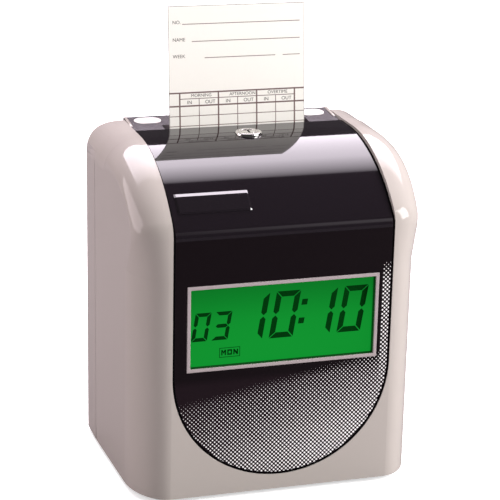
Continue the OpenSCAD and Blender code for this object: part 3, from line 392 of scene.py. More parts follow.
def trim_look(s, colours):
    """Light frame, with painted shade darkening the wall inside its opening"""
    front = FRAME_BOX["lcd_bezel"][0].y
    # Painted shade: the wall inside the opening turns near-black green
    wall = (s.along("Y") - front).ramp(0.4 * MM, 0.7 * MM)
    s.paint({
        "Base Color": s.mix(wall, colours.trim, (0.006, 0.03, 0.010)),
        "Roughness": 0.25 + s.noise(120, 2) * 0.06,
        "Normal": s.bump(s.noise(1500, 2), 0.04, 0.04 * MM),
    })


def gap_look(s, colours):
    """Dull black of the strip put in the gap round the panel as painted shade"""
    s.paint({"Base Color": (0.0015, 0.001, 0.0015), "Roughness": 0.9, "Specular IOR Level": 0.05})


def rule(axis, at, width):
    """1 on a printed line of a width, in millimetres"""
    return abs(axis - at) < width * MM / 2


def span(axis, low, high):
    return (axis > low * MM) * (axis < high * MM)


def card_print(x, z, top):
    """1 where the card carries writing lines or its ruled table"""
    head = top - HEAD_DROP * MM
    subhead = top - SUBHEAD_DROP * MM
    body = top - BODY_DROP * MM
    ink = rule(z, head, BOLD_LINE).higher(rule(z, body, BOLD_LINE))
    for drop, start, end in WRITING_LINES:
        ink = ink.higher(rule(z, top - drop * MM, THIN_LINE) * span(x, start, end))
    table_right = TABLE_LEFT + COLUMNS * COLUMN_WIDTH
    ink = ink.higher(rule(z, subhead, THIN_LINE) * span(x, TABLE_LEFT, table_right))
    row = ((body - z) / (ROW_HEIGHT * MM)).fraction()
    ink = ink.higher((abs(row - 0.5) > 0.5 - THIN_LINE / ROW_HEIGHT / 2) * (z < body))
    for i in range(COLUMNS + 1):
        at = (TABLE_LEFT + COLUMN_WIDTH * i) * MM
        width, upper = (THIN_LINE, subhead) if i % 2 else (BOLD_LINE, head)
        ink = ink.higher(rule(x, at, width) * (z < upper))
    return ink


def paper_look(s, colours):
    """Card stock with printed writing lines, a ruled table and a dark edge"""
    x = s.along("X")
    z = s.along("Z")
    high = FRAME_BOX["time_card"][1]
    fibre = s.noise(900, 4, (1, 1, 0.4))
    paper = s.mix(fibre, colours.paper, dimmed(colours.paper, 0.97))
    border = (abs(x) > high.x - 0.4 * MM).higher(z > high.z - 0.5 * MM)
    paper = s.mix(border * 0.75, paper, (0.14, 0.12, 0.12))
    s.paint({
        "Base Color": s.mix(card_print(x, z, high.z) * 0.9, paper, colours.ink),
        "Roughness": 0.62,
        "Specular IOR Level": 0.3,
        "Normal": s.bump(fibre, 0.08, 0.03 * MM),
    })


def words_look(s, colours):
    """Ink of the words on the card"""
    plain_look(s, dimmed(colours.ink, 0.3), 0.6)


def board_look(s, colours):
    """Solder mask with a pattern of copper tracks under it"""
    mask = (0.012, 0.10, 0.035)
    cell = s.add("ShaderNodeTexVoronoi", {"feature": "F1", "distance": "MANHATTAN"},
                 {"Vector": s.point(), "Scale": 190.0})
    track = abs((cell * 5).fraction() - 0.5) < 0.13
    s.paint({
        "Base Color": s.mix(track, mask, [c * 1.7 + 0.01 for c in mask]),
        "Roughness": 0.35 - track * 0.08,
        "Normal": s.bump(track, 0.2, 0.03 * MM),
    })


OWN_LOOKS = {
    "case_plastic": case_look,
    "smoke_plastic": smoke_look,
    "badge_gloss": badge_look,
    "cap_plastic": cap_look,
    "face_print": face_look,
    "lcd": screen_look,
    "lcd_ink": ink_look,
    "silver_trim": trim_look,
    "gap_black": gap_look,
    "card_paper": paper_look,
    "card_ink": words_look,
    "board": board_look,
}


# Looks of plain plastic, rubber and metal

def plain_look(s, base, rough, grain=0.0, scale=1500):
    s.paint({
        "Base Color": s.mix(s.noise(30, 3), base, dimmed(base, 0.92)),
        "Roughness": rough + s.noise(120, 2) * 0.06,
        "Normal": s.bump(s.noise(scale, 2), grain, 0.04 * MM),
    })


def metal_look(s, base, rough, stretch=(1, 1, 1), brushed=0.0, scale=700):
    """Metal, with drawn lines where it is brushed"""
    lines = s.noise(scale, 3, stretch)
    s.paint({
        "Base Color": s.mix(s.noise(25, 2), base, dimmed(base, 0.9)),
        "Metallic": 1.0,
        "Roughness": rough + (lines - 0.5) * brushed,
        "Normal": s.bump(lines, 0.15 if brushed else 0.0, 0.01 * MM),
    })


# Plain looks: colour, roughness, strength of the grain and its scale

PLAIN_LOOKS = {
    "diffuser": ((0.85, 0.87, 0.83), 0.5),
    "components": ((0.022, 0.022, 0.024), 0.45, 0.2),
    "rubber": ((0.03, 0.03, 0.032), 0.75, 0.35, 900),
    "dark_plastic": ((0.035, 0.035, 0.039), 0.42, 0.25),
    "white_plastic": ((0.80, 0.785, 0.75), 0.26, 0.04),
    "red_plastic": ((0.50, 0.045, 0.035), 0.26, 0.04),
    "ink_ribbon": ((0.025, 0.012, 0.05), 0.7, 0.5, 2500),
    "cell_wrap": ((0.04, 0.11, 0.38), 0.3),
}

# Metal looks: colour, roughness, stretch of the drawn lines, their strength and their scale

METAL_LOOKS = {
    "steel_sheet": ((0.60, 0.61, 0.62), 0.34, (1, 1, 0.03), 0.18),
    "shaft_steel": ((0.70, 0.70, 0.71), 0.16, (0.05, 1, 1), 0.1),
    "screw_steel": ((0.62, 0.62, 0.63), 0.25),
    "lock_chrome": ((0.78, 0.76, 0.75), 0.07),
    "brass": ((0.70, 0.50, 0.20), 0.24),
    "motor_can": ((0.30, 0.30, 0.31), 0.38, (1, 1, 1), 0.08),
    "core_steel": ((0.26, 0.27, 0.29), 0.45, (0.02, 1, 1), 0.2, 1400),
}

def look(slot):
    """The material of a slot, made the first time it is asked for"""
    known = bpy.data.materials.get(slot)
    if known and known.get("clock_look"):
        return known
    if known:
        known.name = slot + "_cad"
    s = Shader(slot)
    if slot in PLAIN_LOOKS:
        plain_look(s, *PLAIN_LOOKS[slot])
    elif slot in METAL_LOOKS:
        metal_look(s, *METAL_LOOKS[slot])
    else:
        OWN_LOOKS[slot](s, bpy.context.scene.clock_colours)
    s.material["clock_look"] = True
    return s.material


# Pieces and their modifiers

def wear(piece, slot):
    piece.data.materials.clear()
    piece.data.materials.append(look(slot))


def smooth(mesh):
    for polygon in mesh.polygons:
        polygon.use_smooth = True


def dress(piece, body, slot, nodes=()):
    """Gives a piece its look and its body, and hides the CAD nodes that it stands for"""
    wear(piece, slot)
    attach(piece, body)
    if nodes:
        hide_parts(*nodes)


def link(name, mesh):
    piece = bpy.data.objects.new(name, mesh)
    bpy.context.scene.collection.objects.link(piece)
    return piece


def mesh_mm(name, points, faces):
    mesh = bpy.data.meshes.new(name)
    mesh.from_pydata([[c * MM for c in p] for p in points], [], faces)
    return mesh


def new_piece(name, points, faces, body, slot, nodes=()):
    """A mesh from points in millimetres that rides on a body"""
    mesh = mesh_mm(name, points, faces)
    mesh.validate()
    smooth(mesh)
    piece = link(name, mesh)
    dress(piece, body, slot, nodes)
    return piece


def modify(piece, kind, **settings):
    modifier = piece.modifiers.new(kind.lower(), kind)
    for key, value in settings.items():
        setattr(modifier, key, value)


def round_edges(piece, width, segments, sharp=50):
    modify(piece, "BEVEL", width=width, segments=segments, limit_method="ANGLE",
           angle_limit=math.radians(sharp))


def split_edges(piece, sharp):
    modify(piece, "EDGE_SPLIT", split_angle=math.radians(sharp))


def soften(node, width=0.2, sharp=40, segments=2):
    """Rounds the edges of a CAD node with modifiers, and gives it the look of its slot"""
    piece = frame["nodes"][node]
    wear(piece, next(p["material_slot"] for p in frame["record"]["subparts"] if p["node"] == node))
    smooth(piece.data)
    modify(piece, "WELD", merge_threshold=1e-6)
    modify(piece, "DECIMATE", decimate_type="DISSOLVE", angle_limit=math.radians(0.4))
    if width:
        round_edges(piece, width * MM, segments, sharp)
    modify(piece, "EDGE_SPLIT", split_angle=math.radians(sharp), use_edge_sharp=False)
    modify(piece, "WEIGHTED_NORMAL", weight=60)
    return piece


def edit_mesh(mesh, change):
    """Runs one bmesh operation on a mesh"""
    bm = bmesh.new()
    bm.from_mesh(mesh)
    change(bm)
    bm.normal_update()
    bm.to_mesh(mesh)
    bm.free()


def cutter(points, faces):
    mesh = mesh_mm("cutter", points, faces)
    edit_mesh(mesh, lambda bm: bmesh.ops.recalc_face_normals(bm, faces=bm.faces))
    return link("cutter", mesh)


def carve(piece, cutters):
    """Cuts closed meshes out of a piece, and bakes its modifiers into its mesh"""
    for tool in cutters:
        modify(piece, "BOOLEAN", operation="DIFFERENCE", solver="EXACT", object=tool)
    graph = bpy.context.evaluated_depsgraph_get()
    baked = bpy.data.meshes.new_from_object(piece.evaluated_get(graph))
    piece.modifiers.clear()
    spent = [piece.data] + [tool.data for tool in cutters]
    piece.data = baked
    for tool in cutters:
        bpy.data.objects.remove(tool)
    for mesh in spent:
        bpy.data.meshes.remove(mesh)


# Shapes, in millimetres

def ring(n):
    """Angles of n places round a circle"""
    return [2 * math.pi * i / n for i in range(n)]


def circle(a, b, r, n=64):
    return [(a + r * math.cos(t), b + r * math.sin(t)) for t in ring(n)]


def rectangle(a0, b0, a1, b1):
    return [(a0, b0), (a1, b0), (a1, b1), (a0, b1)]


def half_round(half, centre, n=96):
    """Lower half of a circle from left to right, without its ends"""
    turns = [math.pi * i / n for i in range(1, n)]
    return [(-half * math.cos(t), centre - half * math.sin(t)) for t in turns]


def u_outline(half, low, high):
    """Upright outline with a straight top and a half round bottom"""
    centre = low + half
    return [(-half, high), (-half, centre), *half_round(half, centre), (half, centre), (half, high)]


def prism(axis, start, end, *outlines):
    """Points and faces of outlines run along an axis"""
    at = "xyz".index(axis)
    points = []
    faces = []
    for outline in outlines:
        n = len(outline)
        base = len(points)
        points += [(*p[:at], t, *p[at:]) for t in (start, end) for p in outline]
        loops = [range(n), range(2 * n - 1, n - 1, -1)]
        loops += [(i, (i + 1) % n, n + (i + 1) % n, n + i) for i in range(n)]
        faces += [[base + i for i in loop] for loop in loops]
    return points, faces


def grid_faces(rows, cols):
    """Faces between rows of points, with the same number of columns in each"""
    return [[j * cols + k, (j + 1) * cols + k, (j + 1) * cols + k + 1, j * cols + k + 1]
            for j in range(rows - 1) for k in range(cols - 1)]


def tube_faces(rings, n):
    """Faces between rings of n points each"""
    return [[i * n + k, i * n + (k + 1) % n, (i + 1) * n + (k + 1) % n, (i + 1) * n + k]
            for i in range(rings - 1) for k in range(n)]


def end_faces(rings, n):
    """Flat ends of a stack of rings of n points each"""
    return [list(range(n - 1, -1, -1)), list(range((rings - 1) * n, rings * n))]


def lathe(profile, centre, n):
    """Points of a profile (radius, height) turned about an upright axis"""
    return [(x, y, h) for r, h in profile for x, y in circle(*centre, r, n)]


def crest_line(sizes, top, front, radius, bend, depth, rear, stops):
    """Side view of a crest, at a depth below its surface, as (y, z, turn from 0 to 90 on the way down)"""
    arc_steps = 56
    bend_steps = 16
    fall_steps = 14
    fall = 25
    turn = sizes.turn
    rest = math.pi / 2 - turn
    hub_y = front + bend + (radius - bend) * math.sin(turn)
    hub_z = top - radius
    knee = hub_z + (radius - bend) * math.cos(turn)
    run = radius * turn
    curl = bend * rest

    def bow(y, z, r, a):
        return y - (r - depth) * math.sin(a), z + (r - depth) * math.cos(a)

    line = [(rear, top - depth, 0)]
    for i in range(arc_steps + 1):
        line.append((*bow(hub_y, hub_z, radius, turn * i / arc_steps), run * i / arc_steps))
    for i in range(1, bend_steps + 1):
        a = turn + rest * i / bend_steps
        line.append((*bow(front + bend, knee, bend, a), run + curl * i / bend_steps))
    for i in range(1, fall_steps + 1):
        gone = fall * i / fall_steps
        line.append((front + depth, knee - gone, run + curl + gone))
    total = run + curl + fall
    line += [(front + depth, z, total) for z in stops]
    return [(y, z, 90 * s / total) for y, z, s in line]


def panel_line(sizes, depth):
    """Side view of the panel at a depth below its surface, down to the centre of its round end"""
    low, high = box_mm("front_panel")
    stops = [low.z + high.x]
    return crest_line(
        sizes, high.z, low.y, sizes.panel_radius / MM, sizes.panel_bend / MM, depth, high.y, stops)


# Front cover

class CoverSkin:
    """Outer skin of the front cover: rounded shoulders, flat sides and the chin"""
    steps = 30
    lead = math.radians(4)
    seam_gap = 0.5
    rear_relief = 0.9
    panel_gap = 0.5
    flat_share = 0.2
    flat_loss = 0.15

    def __init__(self, sizes):
        low, high = box_mm("cover_shell")
        self.sizes = sizes
        self.front = low.y
        self.rear = high.y
        self.floor = low.z
        self.side = high.x
        self.rim = sizes.rim_half / MM
        _, _, self.hinge_z = middle("hinge_pins")
        self.slope = sizes.draft / MM / (self.rear + self.seam_gap - self.front)
        self.centre = box_mm("front_panel")[0].z - self.panel_gap + self.rim
        stops = [self.centre, self.hinge_z, self.floor]
        self.line = crest_line(
            sizes, high.z, self.front, sizes.rim_radius / MM, sizes.rim_bend / MM, 0, self.rear, stops)
        self.points = []
        self.faces = []

    def half(self, y):
        """Half width of the cover at a depth"""
        return self.side - self.slope * (self.rear - y)

    def drop(self, u):
        """Fall of the shoulder at a share of the way from the top to the front"""
        sizes = self.sizes
        top = sizes.top_drop * (1 - u) * (1 - 2 * u)
        crest = sizes.crest_drop * 4 * u * (1 - u)
        front = sizes.front_drop * u * (2 * u - 1)
        return (top + crest + front) / MM

    def shoulder(self, y, z, turn, k):
        """Point k of the shoulder that starts at a place of the rim's line"""
        if k == 0:
            return (self.rim, y, z)
        u = turn / 90
        flat = self.flat_share - self.flat_loss * u
        slip = flat * math.tan(self.lead)
        t = self.lead + (math.pi / 2 - self.lead) * (k - 1) / (self.steps - 1)
        lead_sin = math.sin(self.lead)
        lead_cos = math.cos(self.lead)
        reach = flat + (1 - flat) * (math.sin(t) - lead_sin) / (1 - lead_sin)
        fall = self.drop(u) * (slip + (1 - slip) * (lead_cos - math.cos(t)) / lead_cos)
        tilt = math.radians(turn)
        deep = y + fall * math.sin(tilt)
        x = self.rim + (self.half(deep) - self.rim) * reach
        return (x, deep, z - fall * math.cos(tilt))

    def add_sides(self):
        """Shoulder and flat side on the right, and the same mirrored on the left"""
        cols = self.steps + 1
        points = [self.shoulder(*place, k) for place in self.line for k in range(cols)]
        faces = grid_faces(len(self.line), cols)
        ends = range(self.steps, len(points), cols)
        corner = len(points)
        for y, z in ((self.rear - self.rear_relief, self.floor), (self.rear, self.hinge_z)):
            points.append((self.half(y), y, z))
        faces.append([*ends, corner, corner + 1])
        start = len(points)
        self.points += points + [(-x, y, z) for x, y, z in points]
        self.faces += faces + [[start + i for i in reversed(face)] for face in faces]

    def add_chin(self):
        """Front below the panel's round end"""
        right = [(self.rim, self.floor), (self.rim, self.hinge_z), (self.rim, self.centre)]
        left = [(-x, z) for x, z in reversed(right)]
        arc = half_round(self.rim, self.centre)
        start = len(self.points)
        self.points += [(x, self.front, z) for x, z in (*right, *reversed(arc), *left)]
        self.faces.append(list(range(start, len(self.points))))


def panel_strip(sizes, name, slot, depth, inner, outer):
    """Strip that follows the panel's outline, at a depth below its surface"""
    line = panel_line(sizes, depth)
    front, centre, _ = line[-1]
    steps = 64
    thickness = 2.2 * MM
    rounds = zip(half_round(outer, centre, steps), half_round(inner, centre, steps))
    pairs = [((-outer, y, z), (-inner, y, z)) for y, z, _ in line]
    pairs += [((a, front, b), (c, front, d)) for (a, b), (c, d) in rounds]
    pairs += [((outer, y, z), (inner, y, z)) for y, z, _ in reversed(line)]
    points = [p for pair in pairs for p in pair]
    faces = [[2 * i, 2 * i + 1, 2 * i + 3, 2 * i + 2] for i in range(len(pairs) - 1)]
    piece = new_piece(name, points, faces, "front_cover", slot)
    modify(piece, "SOLIDIFY", thickness=thickness, offset=1, use_even_offset=True)
    split_edges(piece, 40)


def hinge_lugs(front):
    """Lugs of the cover that turn on the hinge pins"""
    _, y, z = middle("hinge_pins")
    radius = 5.5
    hole = 2.56
    root = front + 1.8
    inner = 57.3
    outer = 61.3
    arc_steps = 32
    turns = [math.radians(-90 + 180 * i / arc_steps) for i in range(arc_steps + 1)]
    outline = [(y + radius * math.cos(a), z + radius * math.sin(a)) for a in turns]
    outline += [(root, z + radius), (root, z - radius)]
    for name, start, end in (("cover_lug_right", inner, outer), ("cover_lug_left", -outer, -inner)):
        piece = new_piece(name, *prism("x", start, end, outline), "front_cover", "case_plastic")
        carve(piece, [cutter(*prism("x", start - 1, end + 1, circle(y, z, hole, 48)))])
        round_edges(piece, 0.3 * MM, 2)
        split_edges(piece, 40)


class CLOCK_OT_cover(bpy.types.Operator):
    """Builds the moulded front cover with its rounded shoulders"""
    bl_idname = "clock.cover"
    bl_label = "Front Cover"

    def execute(self, context):
        sizes = context.scene.clock_sizes
        skin = CoverSkin(sizes)
        skin.add_sides()
        skin.add_chin()
        piece = new_piece(
            "cover_moulding", skin.points, skin.faces, "front_cover", "case_plastic", ["cover_shell"])
        edit_mesh(piece.data, lambda bm: bmesh.ops.remove_doubles(bm, verts=bm.verts, dist=1e-6))
        modify(piece, "SOLIDIFY", thickness=sizes.wall, offset=-1, use_even_offset=False, use_rim=True)
        round_edges(piece, sizes.edge, 4)
        modify(piece, "WEIGHTED_NORMAL", keep_sharp=False, weight=60)
        rim = skin.rim
        # The ledge under the panel's edge wears dark plastic as painted shade in the gap round the panel
        panel_strip(sizes, "cover_ledge", "dark_plastic", depth=2.45, inner=rim - 3.2, outer=rim + 1.2)
        # A dull black strip in the gap round the panel is painted shade
        panel_strip(sizes, "cover_gap_shade", "gap_black", depth=0.15, inner=rim - 1.4, outer=rim - 0.02)
        hinge_lugs(skin.front)
        return {"FINISHED"}


# Dark panel

def panel_openings(front):
    """Cutters for the face plate's pocket, the display's window and the lock's hole and seat"""
    face_low, face_high = box_mm("face_plate")
    frame_low, frame_high = box_mm("lcd_bezel")
    _, lock_y, _ = middle("lock_barrel")
    seat = box_mm("lock_barrel")[1].z - LOCK_FLANGE
    face_gap = 0.06
    frame_gap = 0.1
    ahead = 3
    behind = 6
    reach = 8
    pocket_depth = 0.8
    hole_radius = 6.1
    seat_radius = 8.2
    pocket = u_outline(face_high.x + face_gap, face_low.z - face_gap, face_high.z + face_gap)
    window = rectangle(frame_low.x - frame_gap, frame_low.z - frame_gap,
                       frame_high.x + frame_gap, frame_high.z + frame_gap)
    return [
        cutter(*prism("y", front - ahead, front + pocket_depth, pocket)),
        cutter(*prism("y", front - ahead, front + behind, window)),
        cutter(*prism("z", seat - reach, seat + reach, circle(0, lock_y, hole_radius))),
        cutter(*prism("z", seat, seat + reach, circle(0, lock_y, seat_radius))),
    ]


def badge_relief(sizes, low, high):
    """Blank badge with sloping borders, bent to the crest"""
    radius = sizes.panel_radius / MM
    bend = sizes.panel_bend / MM
    hub_y = low.y + bend + (radius - bend) * math.sin(sizes.turn)
    hub_z = high.z - radius
    left = box_mm("badge_plate")[0].x
    right = box_mm("badge_plate")[1].x
    place = math.radians(37.5)
    half = 7
    thick = 0.9
    edge = 0.2
    upper_border = 2.5
    border = 1.0
    flat_steps = 8
    flat = 2 * half - upper_border - border
    rows = [(-half, 0), (-half, edge)]
    rows += [(upper_border - half + flat * i / flat_steps, thick) for i in range(flat_steps + 1)]
    rows += [(half, edge), (half, 0)]
    cols = [(left, 0), (left, edge), (left + border, thick),
            (right - border, thick), (right, edge), (right, 0)]
    points = []
    for along, rise in rows:
        a = place + along / radius
        for x, limit in cols:
            r = radius + min(rise, limit)
            points.append((x, hub_y - r * math.sin(a), hub_z + r * math.cos(a)))
    faces = grid_faces(len(rows), len(cols))
    piece = new_piece("badge_relief", points, faces, "front_cover", "badge_gloss", ["badge_plate"])
    split_edges(piece, 12)


class CLOCK_OT_panel(bpy.types.Operator):
    """Builds the glossy panel that runs over the crest and down the front"""
    bl_idname = "clock.panel"
    bl_label = "Dark Panel"

    def execute(self, context):
        sizes = context.scene.clock_sizes
        low, high = box_mm("front_panel")
        edge_gap = 0.85
        half = high.x - edge_gap
        thickness = 2.4 * MM
        line = panel_line(sizes, 0)
        points = [(s * half, y, z) for y, z, _ in line for s in (-1, 1)]
        faces = grid_faces(len(line), 2)
        start = len(points)
        points += [(x, low.y, z) for x, z in half_round(half, line[-1][1])]
        faces.append([start - 2, *range(start, len(points)), start - 1])
        piece = new_piece("panel_moulding", points, faces, "front_cover", "smoke_plastic", ["front_panel"])
        modify(piece, "SOLIDIFY", thickness=thickness, offset=-1, use_even_offset=True)
        carve(piece, panel_openings(low.y))
        round_edges(piece, 0.35 * MM, 3)
        modify(piece, "WEIGHTED_NORMAL", keep_sharp=False, weight=60)
        wear(frame["nodes"]["face_plate"], "face_print")
        badge_relief(sizes, low, high)
        return {"FINISHED"}


# Display

def digit_strokes(w, h, t):
    """Outlines of a digit's seven strokes of thickness t in a cell w wide and h high"""
    gap = t * 0.12
    mid = h / 2
    bar = [(gap, h), (w - gap, h), (w - gap - t, h - t), (gap + t, h - t)]
    foot = mid + gap
    post = [(0, h - gap), (t, h - t - gap), (t, foot + t / 2), (t / 2, foot), (0, foot + t / 2)]
    cross = [(gap + t / 2, mid), (gap + t, mid + t / 2), (w - gap - t, mid + t / 2),
             (w - gap - t / 2, mid), (w - gap - t, mid - t / 2), (gap + t, mid - t / 2)]

    def over(outline):
        return [(x, h - z) for x, z in outline]

    def across(outline):
        return [(w - x, z) for x, z in outline]

    return {"a": bar, "b": across(post), "c": across(over(post)), "d": over(bar), "e": over(post), "f": post,
            "g": cross}


def ink_depths():
    """Front and back of the ink on the glass"""
    glass = box_mm("lcd_glass")[0].y
    return glass - INK_DEPTH, glass + INK_DEPTH


def ink_layer(outlines):
    return prism("y", *ink_depths(), *outlines)


def digit_outlines(left, top, width, height, slant):
    """Outlines of the lit strokes of the date and the time"""
    cells = [(*cell, DATE_FOOT, DATE_HEIGHT, DATE_STROKE) for cell in DATE_DIGITS]
    cells += [(*cell, TIME_FOOT, TIME_HEIGHT, TIME_STROKE) for cell in TIME_DIGITS]
    outlines = []
    for value, start, end, foot, share, thick in cells:
        tall = share * height
        strokes = digit_strokes((end - start) * width, tall, thick)
        x = left + start * width
        z = top - foot * height
        for name in LIT_STROKES[value]:
            outlines.append([(x + a + (b - tall / 2) * slant, z + b) for a, b in strokes[name]])
    return outlines


def colon_outlines(left, top, width, height, slant):
    """Outlines of the two dots between hours and minutes"""
    dot = rectangle(-COLON_HALF_WIDTH, -COLON_HALF_HEIGHT, COLON_HALF_WIDTH, COLON_HALF_HEIGHT)
    outlines = []
    for share in COLON_DOTS:
        x = left + COLON_PLACE * width - (share - COLON_MIDDLE) * height * slant
        z = top - share * height
        outlines.append([(x + a + b * slant, z + b) for a, b in dot])
    return outlines


def weekday(x, z, w, h):
    """Boxed weekday under the date"""
    line = 0.35
    outer = rectangle(x, z, x + w, z + h)
    inner = rectangle(x + line, z + line, x + w - line, z + h - line)
    points = [(a, y, b) for y in ink_depths() for a, b in outer + inner]
    faces = [[k + i, k + (i + 1) % 4, k + 4 + (i + 1) % 4, k + 4 + i] for k in (0, 8) for i in range(4)]
    new_piece("lcd_day_box", points, faces, "front_cover", "lcd_ink")
    gap = 0.28
    wide = w / 4.4
    tall = h * 0.56
    foot = z + h * 0.22
    outlines = []
    for i, strokes in enumerate(weekday_letters()):
        start = x + w / 2 + (i - 1.5) * wide * (1 + gap) + wide * gap / 2
        outlines += [[(start + a * wide, foot + b * tall) for a, b in stroke] for stroke in strokes]
    new_piece("lcd_day", *ink_layer(outlines), "front_cover", "lcd_ink")


def weekday_letters():
    """Strokes of M, O and N in cells one wide and one high"""
    t = 0.26
    dip = 0.25
    posts = [rectangle(0, 0, t, 1), rectangle(1 - t, 0, 1, 1)]
    caps = [rectangle(t, 1 - t, 1 - t, 1), rectangle(t, 0, 1 - t, t)]
    slash = [(t, 1), (t, 1 - 2 * t), (1 - t, 0), (1 - t, 2 * t)]
    vee = [(t, 1), (t, 1 - 1.5 * t), (0.5, dip), (1 - t, 1 - 1.5 * t), (1 - t, 1), (0.5, dip + 1.5 * t)]
    return posts + [vee], posts + caps, posts + [slash]


class CLOCK_OT_display(bpy.types.Operator):
    """Builds the display's frame, screen and digits"""
    bl_idname = "clock.display"
    bl_label = "Display"

    def execute(self, context):
        soften("lcd_bezel", 0.45, 50, 3)
        soften("lcd_glass", 0)
        soften("backlight", 0.3)
        soften("display_board", 0.1)
        soften("display_screws", 0.1)
        low, high = box_mm("lcd_bezel")
        border = 2.2
        left = low.x + border
        top = high.z - border
        width = high.x - border - left
        height = top - low.z - border
        slant = math.tan(context.scene.clock_sizes.digit_slant)
        window = (left, top, width, height, slant)
        outlines = digit_outlines(*window) + colon_outlines(*window)
        piece = new_piece("lcd_digits", *ink_layer(outlines), "front_cover", "lcd_ink")
        split_edges(piece, 30)
        weekday(left + DAY_LEFT * width, top - DAY_FOOT * height, DAY_WIDTH * width, DAY_HEIGHT * height)
        return {"FINISHED"}


# Key lock

def plug_radius():
    low, high = box_mm("lock_plug")
    return (high.x - low.x) / 2


def lock_body(centre, n):
    """Barrel with a rounded flange, open for the plug"""
    low, high = box_mm("lock_barrel")
    top = high.z
    seat = top - LOCK_FLANGE
    barrel = 5.9
    r = (high.x - low.x) / 2 - 0.6
    bore = plug_radius() + 0.05
    profile = [
        (bore, low.z), (barrel, low.z), (barrel, seat), (r, seat),
        (r, top - 0.9), (r - 0.25, top - 0.45), (r - 0.7, top - 0.12), (r - 1.3, top),
        (bore + 1.2, top), (bore + 0.8, top - 0.12), (bore + 0.55, top - 0.4), (bore, top - 0.55),
    ]
    last = (len(profile) - 1) * n
    faces = tube_faces(len(profile), n)
    faces += [[last + k, last + (k + 1) % n, (k + 1) % n, k] for k in range(n)]
    points = lathe(profile, centre, n)
    piece = new_piece("lock_body", points, faces, "front_cover", "lock_chrome", ["lock_barrel"])
    split_edges(piece, 32)


def lock_plug(centre, n):
    """Plug with its keyway"""
    low, high = box_mm("lock_plug")
    r = plug_radius()
    chamfer = 0.3
    half_width = 0.6
    half_length = 2.8
    depth = 3
    x, y = centre
    profile = [(r, low.z), (r, high.z - chamfer), (r - chamfer, high.z)]
    faces = tube_faces(len(profile), n) + end_faces(len(profile), n)
    piece = new_piece("lock_core", lathe(profile, centre, n), faces, "lock", "lock_chrome", ["lock_plug"])
    keyway = rectangle(x - half_width, y - half_length, x + half_width, y + half_length)
    carve(piece, [cutter(*prism("z", high.z - depth, high.z + 1, keyway))])
    split_edges(piece, 32)


class CLOCK_OT_lock(bpy.types.Operator):
    """Builds the chrome key lock"""
    bl_idname = "clock.lock"
    bl_label = "Key Lock"

    def execute(self, context):
        n = context.scene.clock_sizes.segments
        centre = middle("lock_barrel")[:2]
        lock_body(centre, n)
        lock_plug(centre, n)
        for node in ("lock_nut", "lock_cam", "lock_strike"):
            soften(node)
        return {"FINISHED"}


# Rear case and base

def cap_lips(cap):
    """Pale lips along both ends of the cap, on the slope of its top"""
    half = box_mm("top_cap")[1].x
    level = box_mm("front_panel")[1].z
    near = 0.01
    width = 1.6
    sink = 0.6
    rise = 0.25
    spots = [cap.matrix_world @ v.co / MM for v in cap.data.vertices]
    rear = max(spots, key=lambda p: p.z)
    ahead = [p for p in spots if abs(p.z - level) < near and p.x > half - near]
    front = min(ahead, key=lambda p: p.y)
    outline = [(front.y, front.z - sink), (rear.y, rear.z - sink),
               (rear.y, rear.z + rise), (front.y, front.z + rise)]
    for name, sign in (("cap_lip_left", -1), ("cap_lip_right", 1)):
        points, faces = prism("x", sign * (half - width), sign * half, outline)
        piece = new_piece(name, points, faces, "chassis", "case_plastic")
        round_edges(piece, 0.3 * MM, 3)
        split_edges(piece, 40)


class CLOCK_OT_case(bpy.types.Operator):
    """Finishes the rear case, the cap with its card slot, the base and the feet"""
    bl_idname = "clock.case"
    bl_label = "Rear Case and Base"

    def execute(self, context):
        soften("rear_case", 0.4, 42, 3)
        cap = soften("top_cap", 0.7, 42, 3)
        wear(cap, "cap_plastic")
        cap_lips(cap)
        soften("oval_inlays", 0.15)
        for node in ("base_tray", "feet", "foot_screws", "inlet_socket", "case_screws", "hinge_pins"):
            soften(node)
        return {"FINISHED"}


# Time card

def print_words(words, lean):
    """Plain words on the front of the card, each with its start, drop from the top and height"""
    card = frame["nodes"]["time_card"]
    tip = max((card.matrix_world @ v.co for v in card.data.vertices), key=lambda p: p.z)
    up = Vector((0, math.sin(lean), math.cos(lean)))
    ahead = Vector((0, -math.cos(lean), math.sin(lean)))
    turn = Matrix.Rotation(math.pi / 2 - lean, 4, "X")
    clear = 0.03 * MM
    capital = 0.7
    bm = bmesh.new()
    for word, x, drop, height in words:
        curve = bpy.data.curves.new("word", "FONT")
        curve.body = word
        curve.size = height / capital * MM
        sample = bpy.data.objects.new("word", curve)
        flat = sample.to_mesh()
        place = Vector((x * MM, tip.y, tip.z)) - up * drop * MM + ahead * clear
        flat.transform(Matrix.Translation(place) @ turn)
        bm.from_mesh(flat)
        sample.to_mesh_clear()
        bpy.data.objects.remove(sample)
        bpy.data.curves.remove(curve)
    mesh = bpy.data.meshes.new("card_words")
    bm.to_mesh(mesh)
    bm.free()
    dress(link("card_words", mesh), "card", "card_ink")


class CLOCK_OT_card(bpy.types.Operator):
    """Prints the time card"""
    bl_idname = "clock.card"
    bl_label = "Time Card"

    def execute(self, context):
        soften("time_card", 0)
        words = [(word, NOTE_LEFT, drop, NOTE_HEIGHT) for word, drop in NOTES]
        for i, period in enumerate(PERIODS):
            shift = 2 * COLUMN_WIDTH * i
            words.append((period, PERIOD_LEFT + shift, PERIOD_DROP, PERIOD_HEIGHT))
            for word, start in (("IN", IN_LEFT), ("OUT", IN_LEFT + OUT_SHIFT)):
                words.append((word, start + shift, IN_OUT_DROP, IN_OUT_HEIGHT))
        print_words(words, context.scene.clock_sizes.card_lean)
        return {"FINISHED"}


# Works

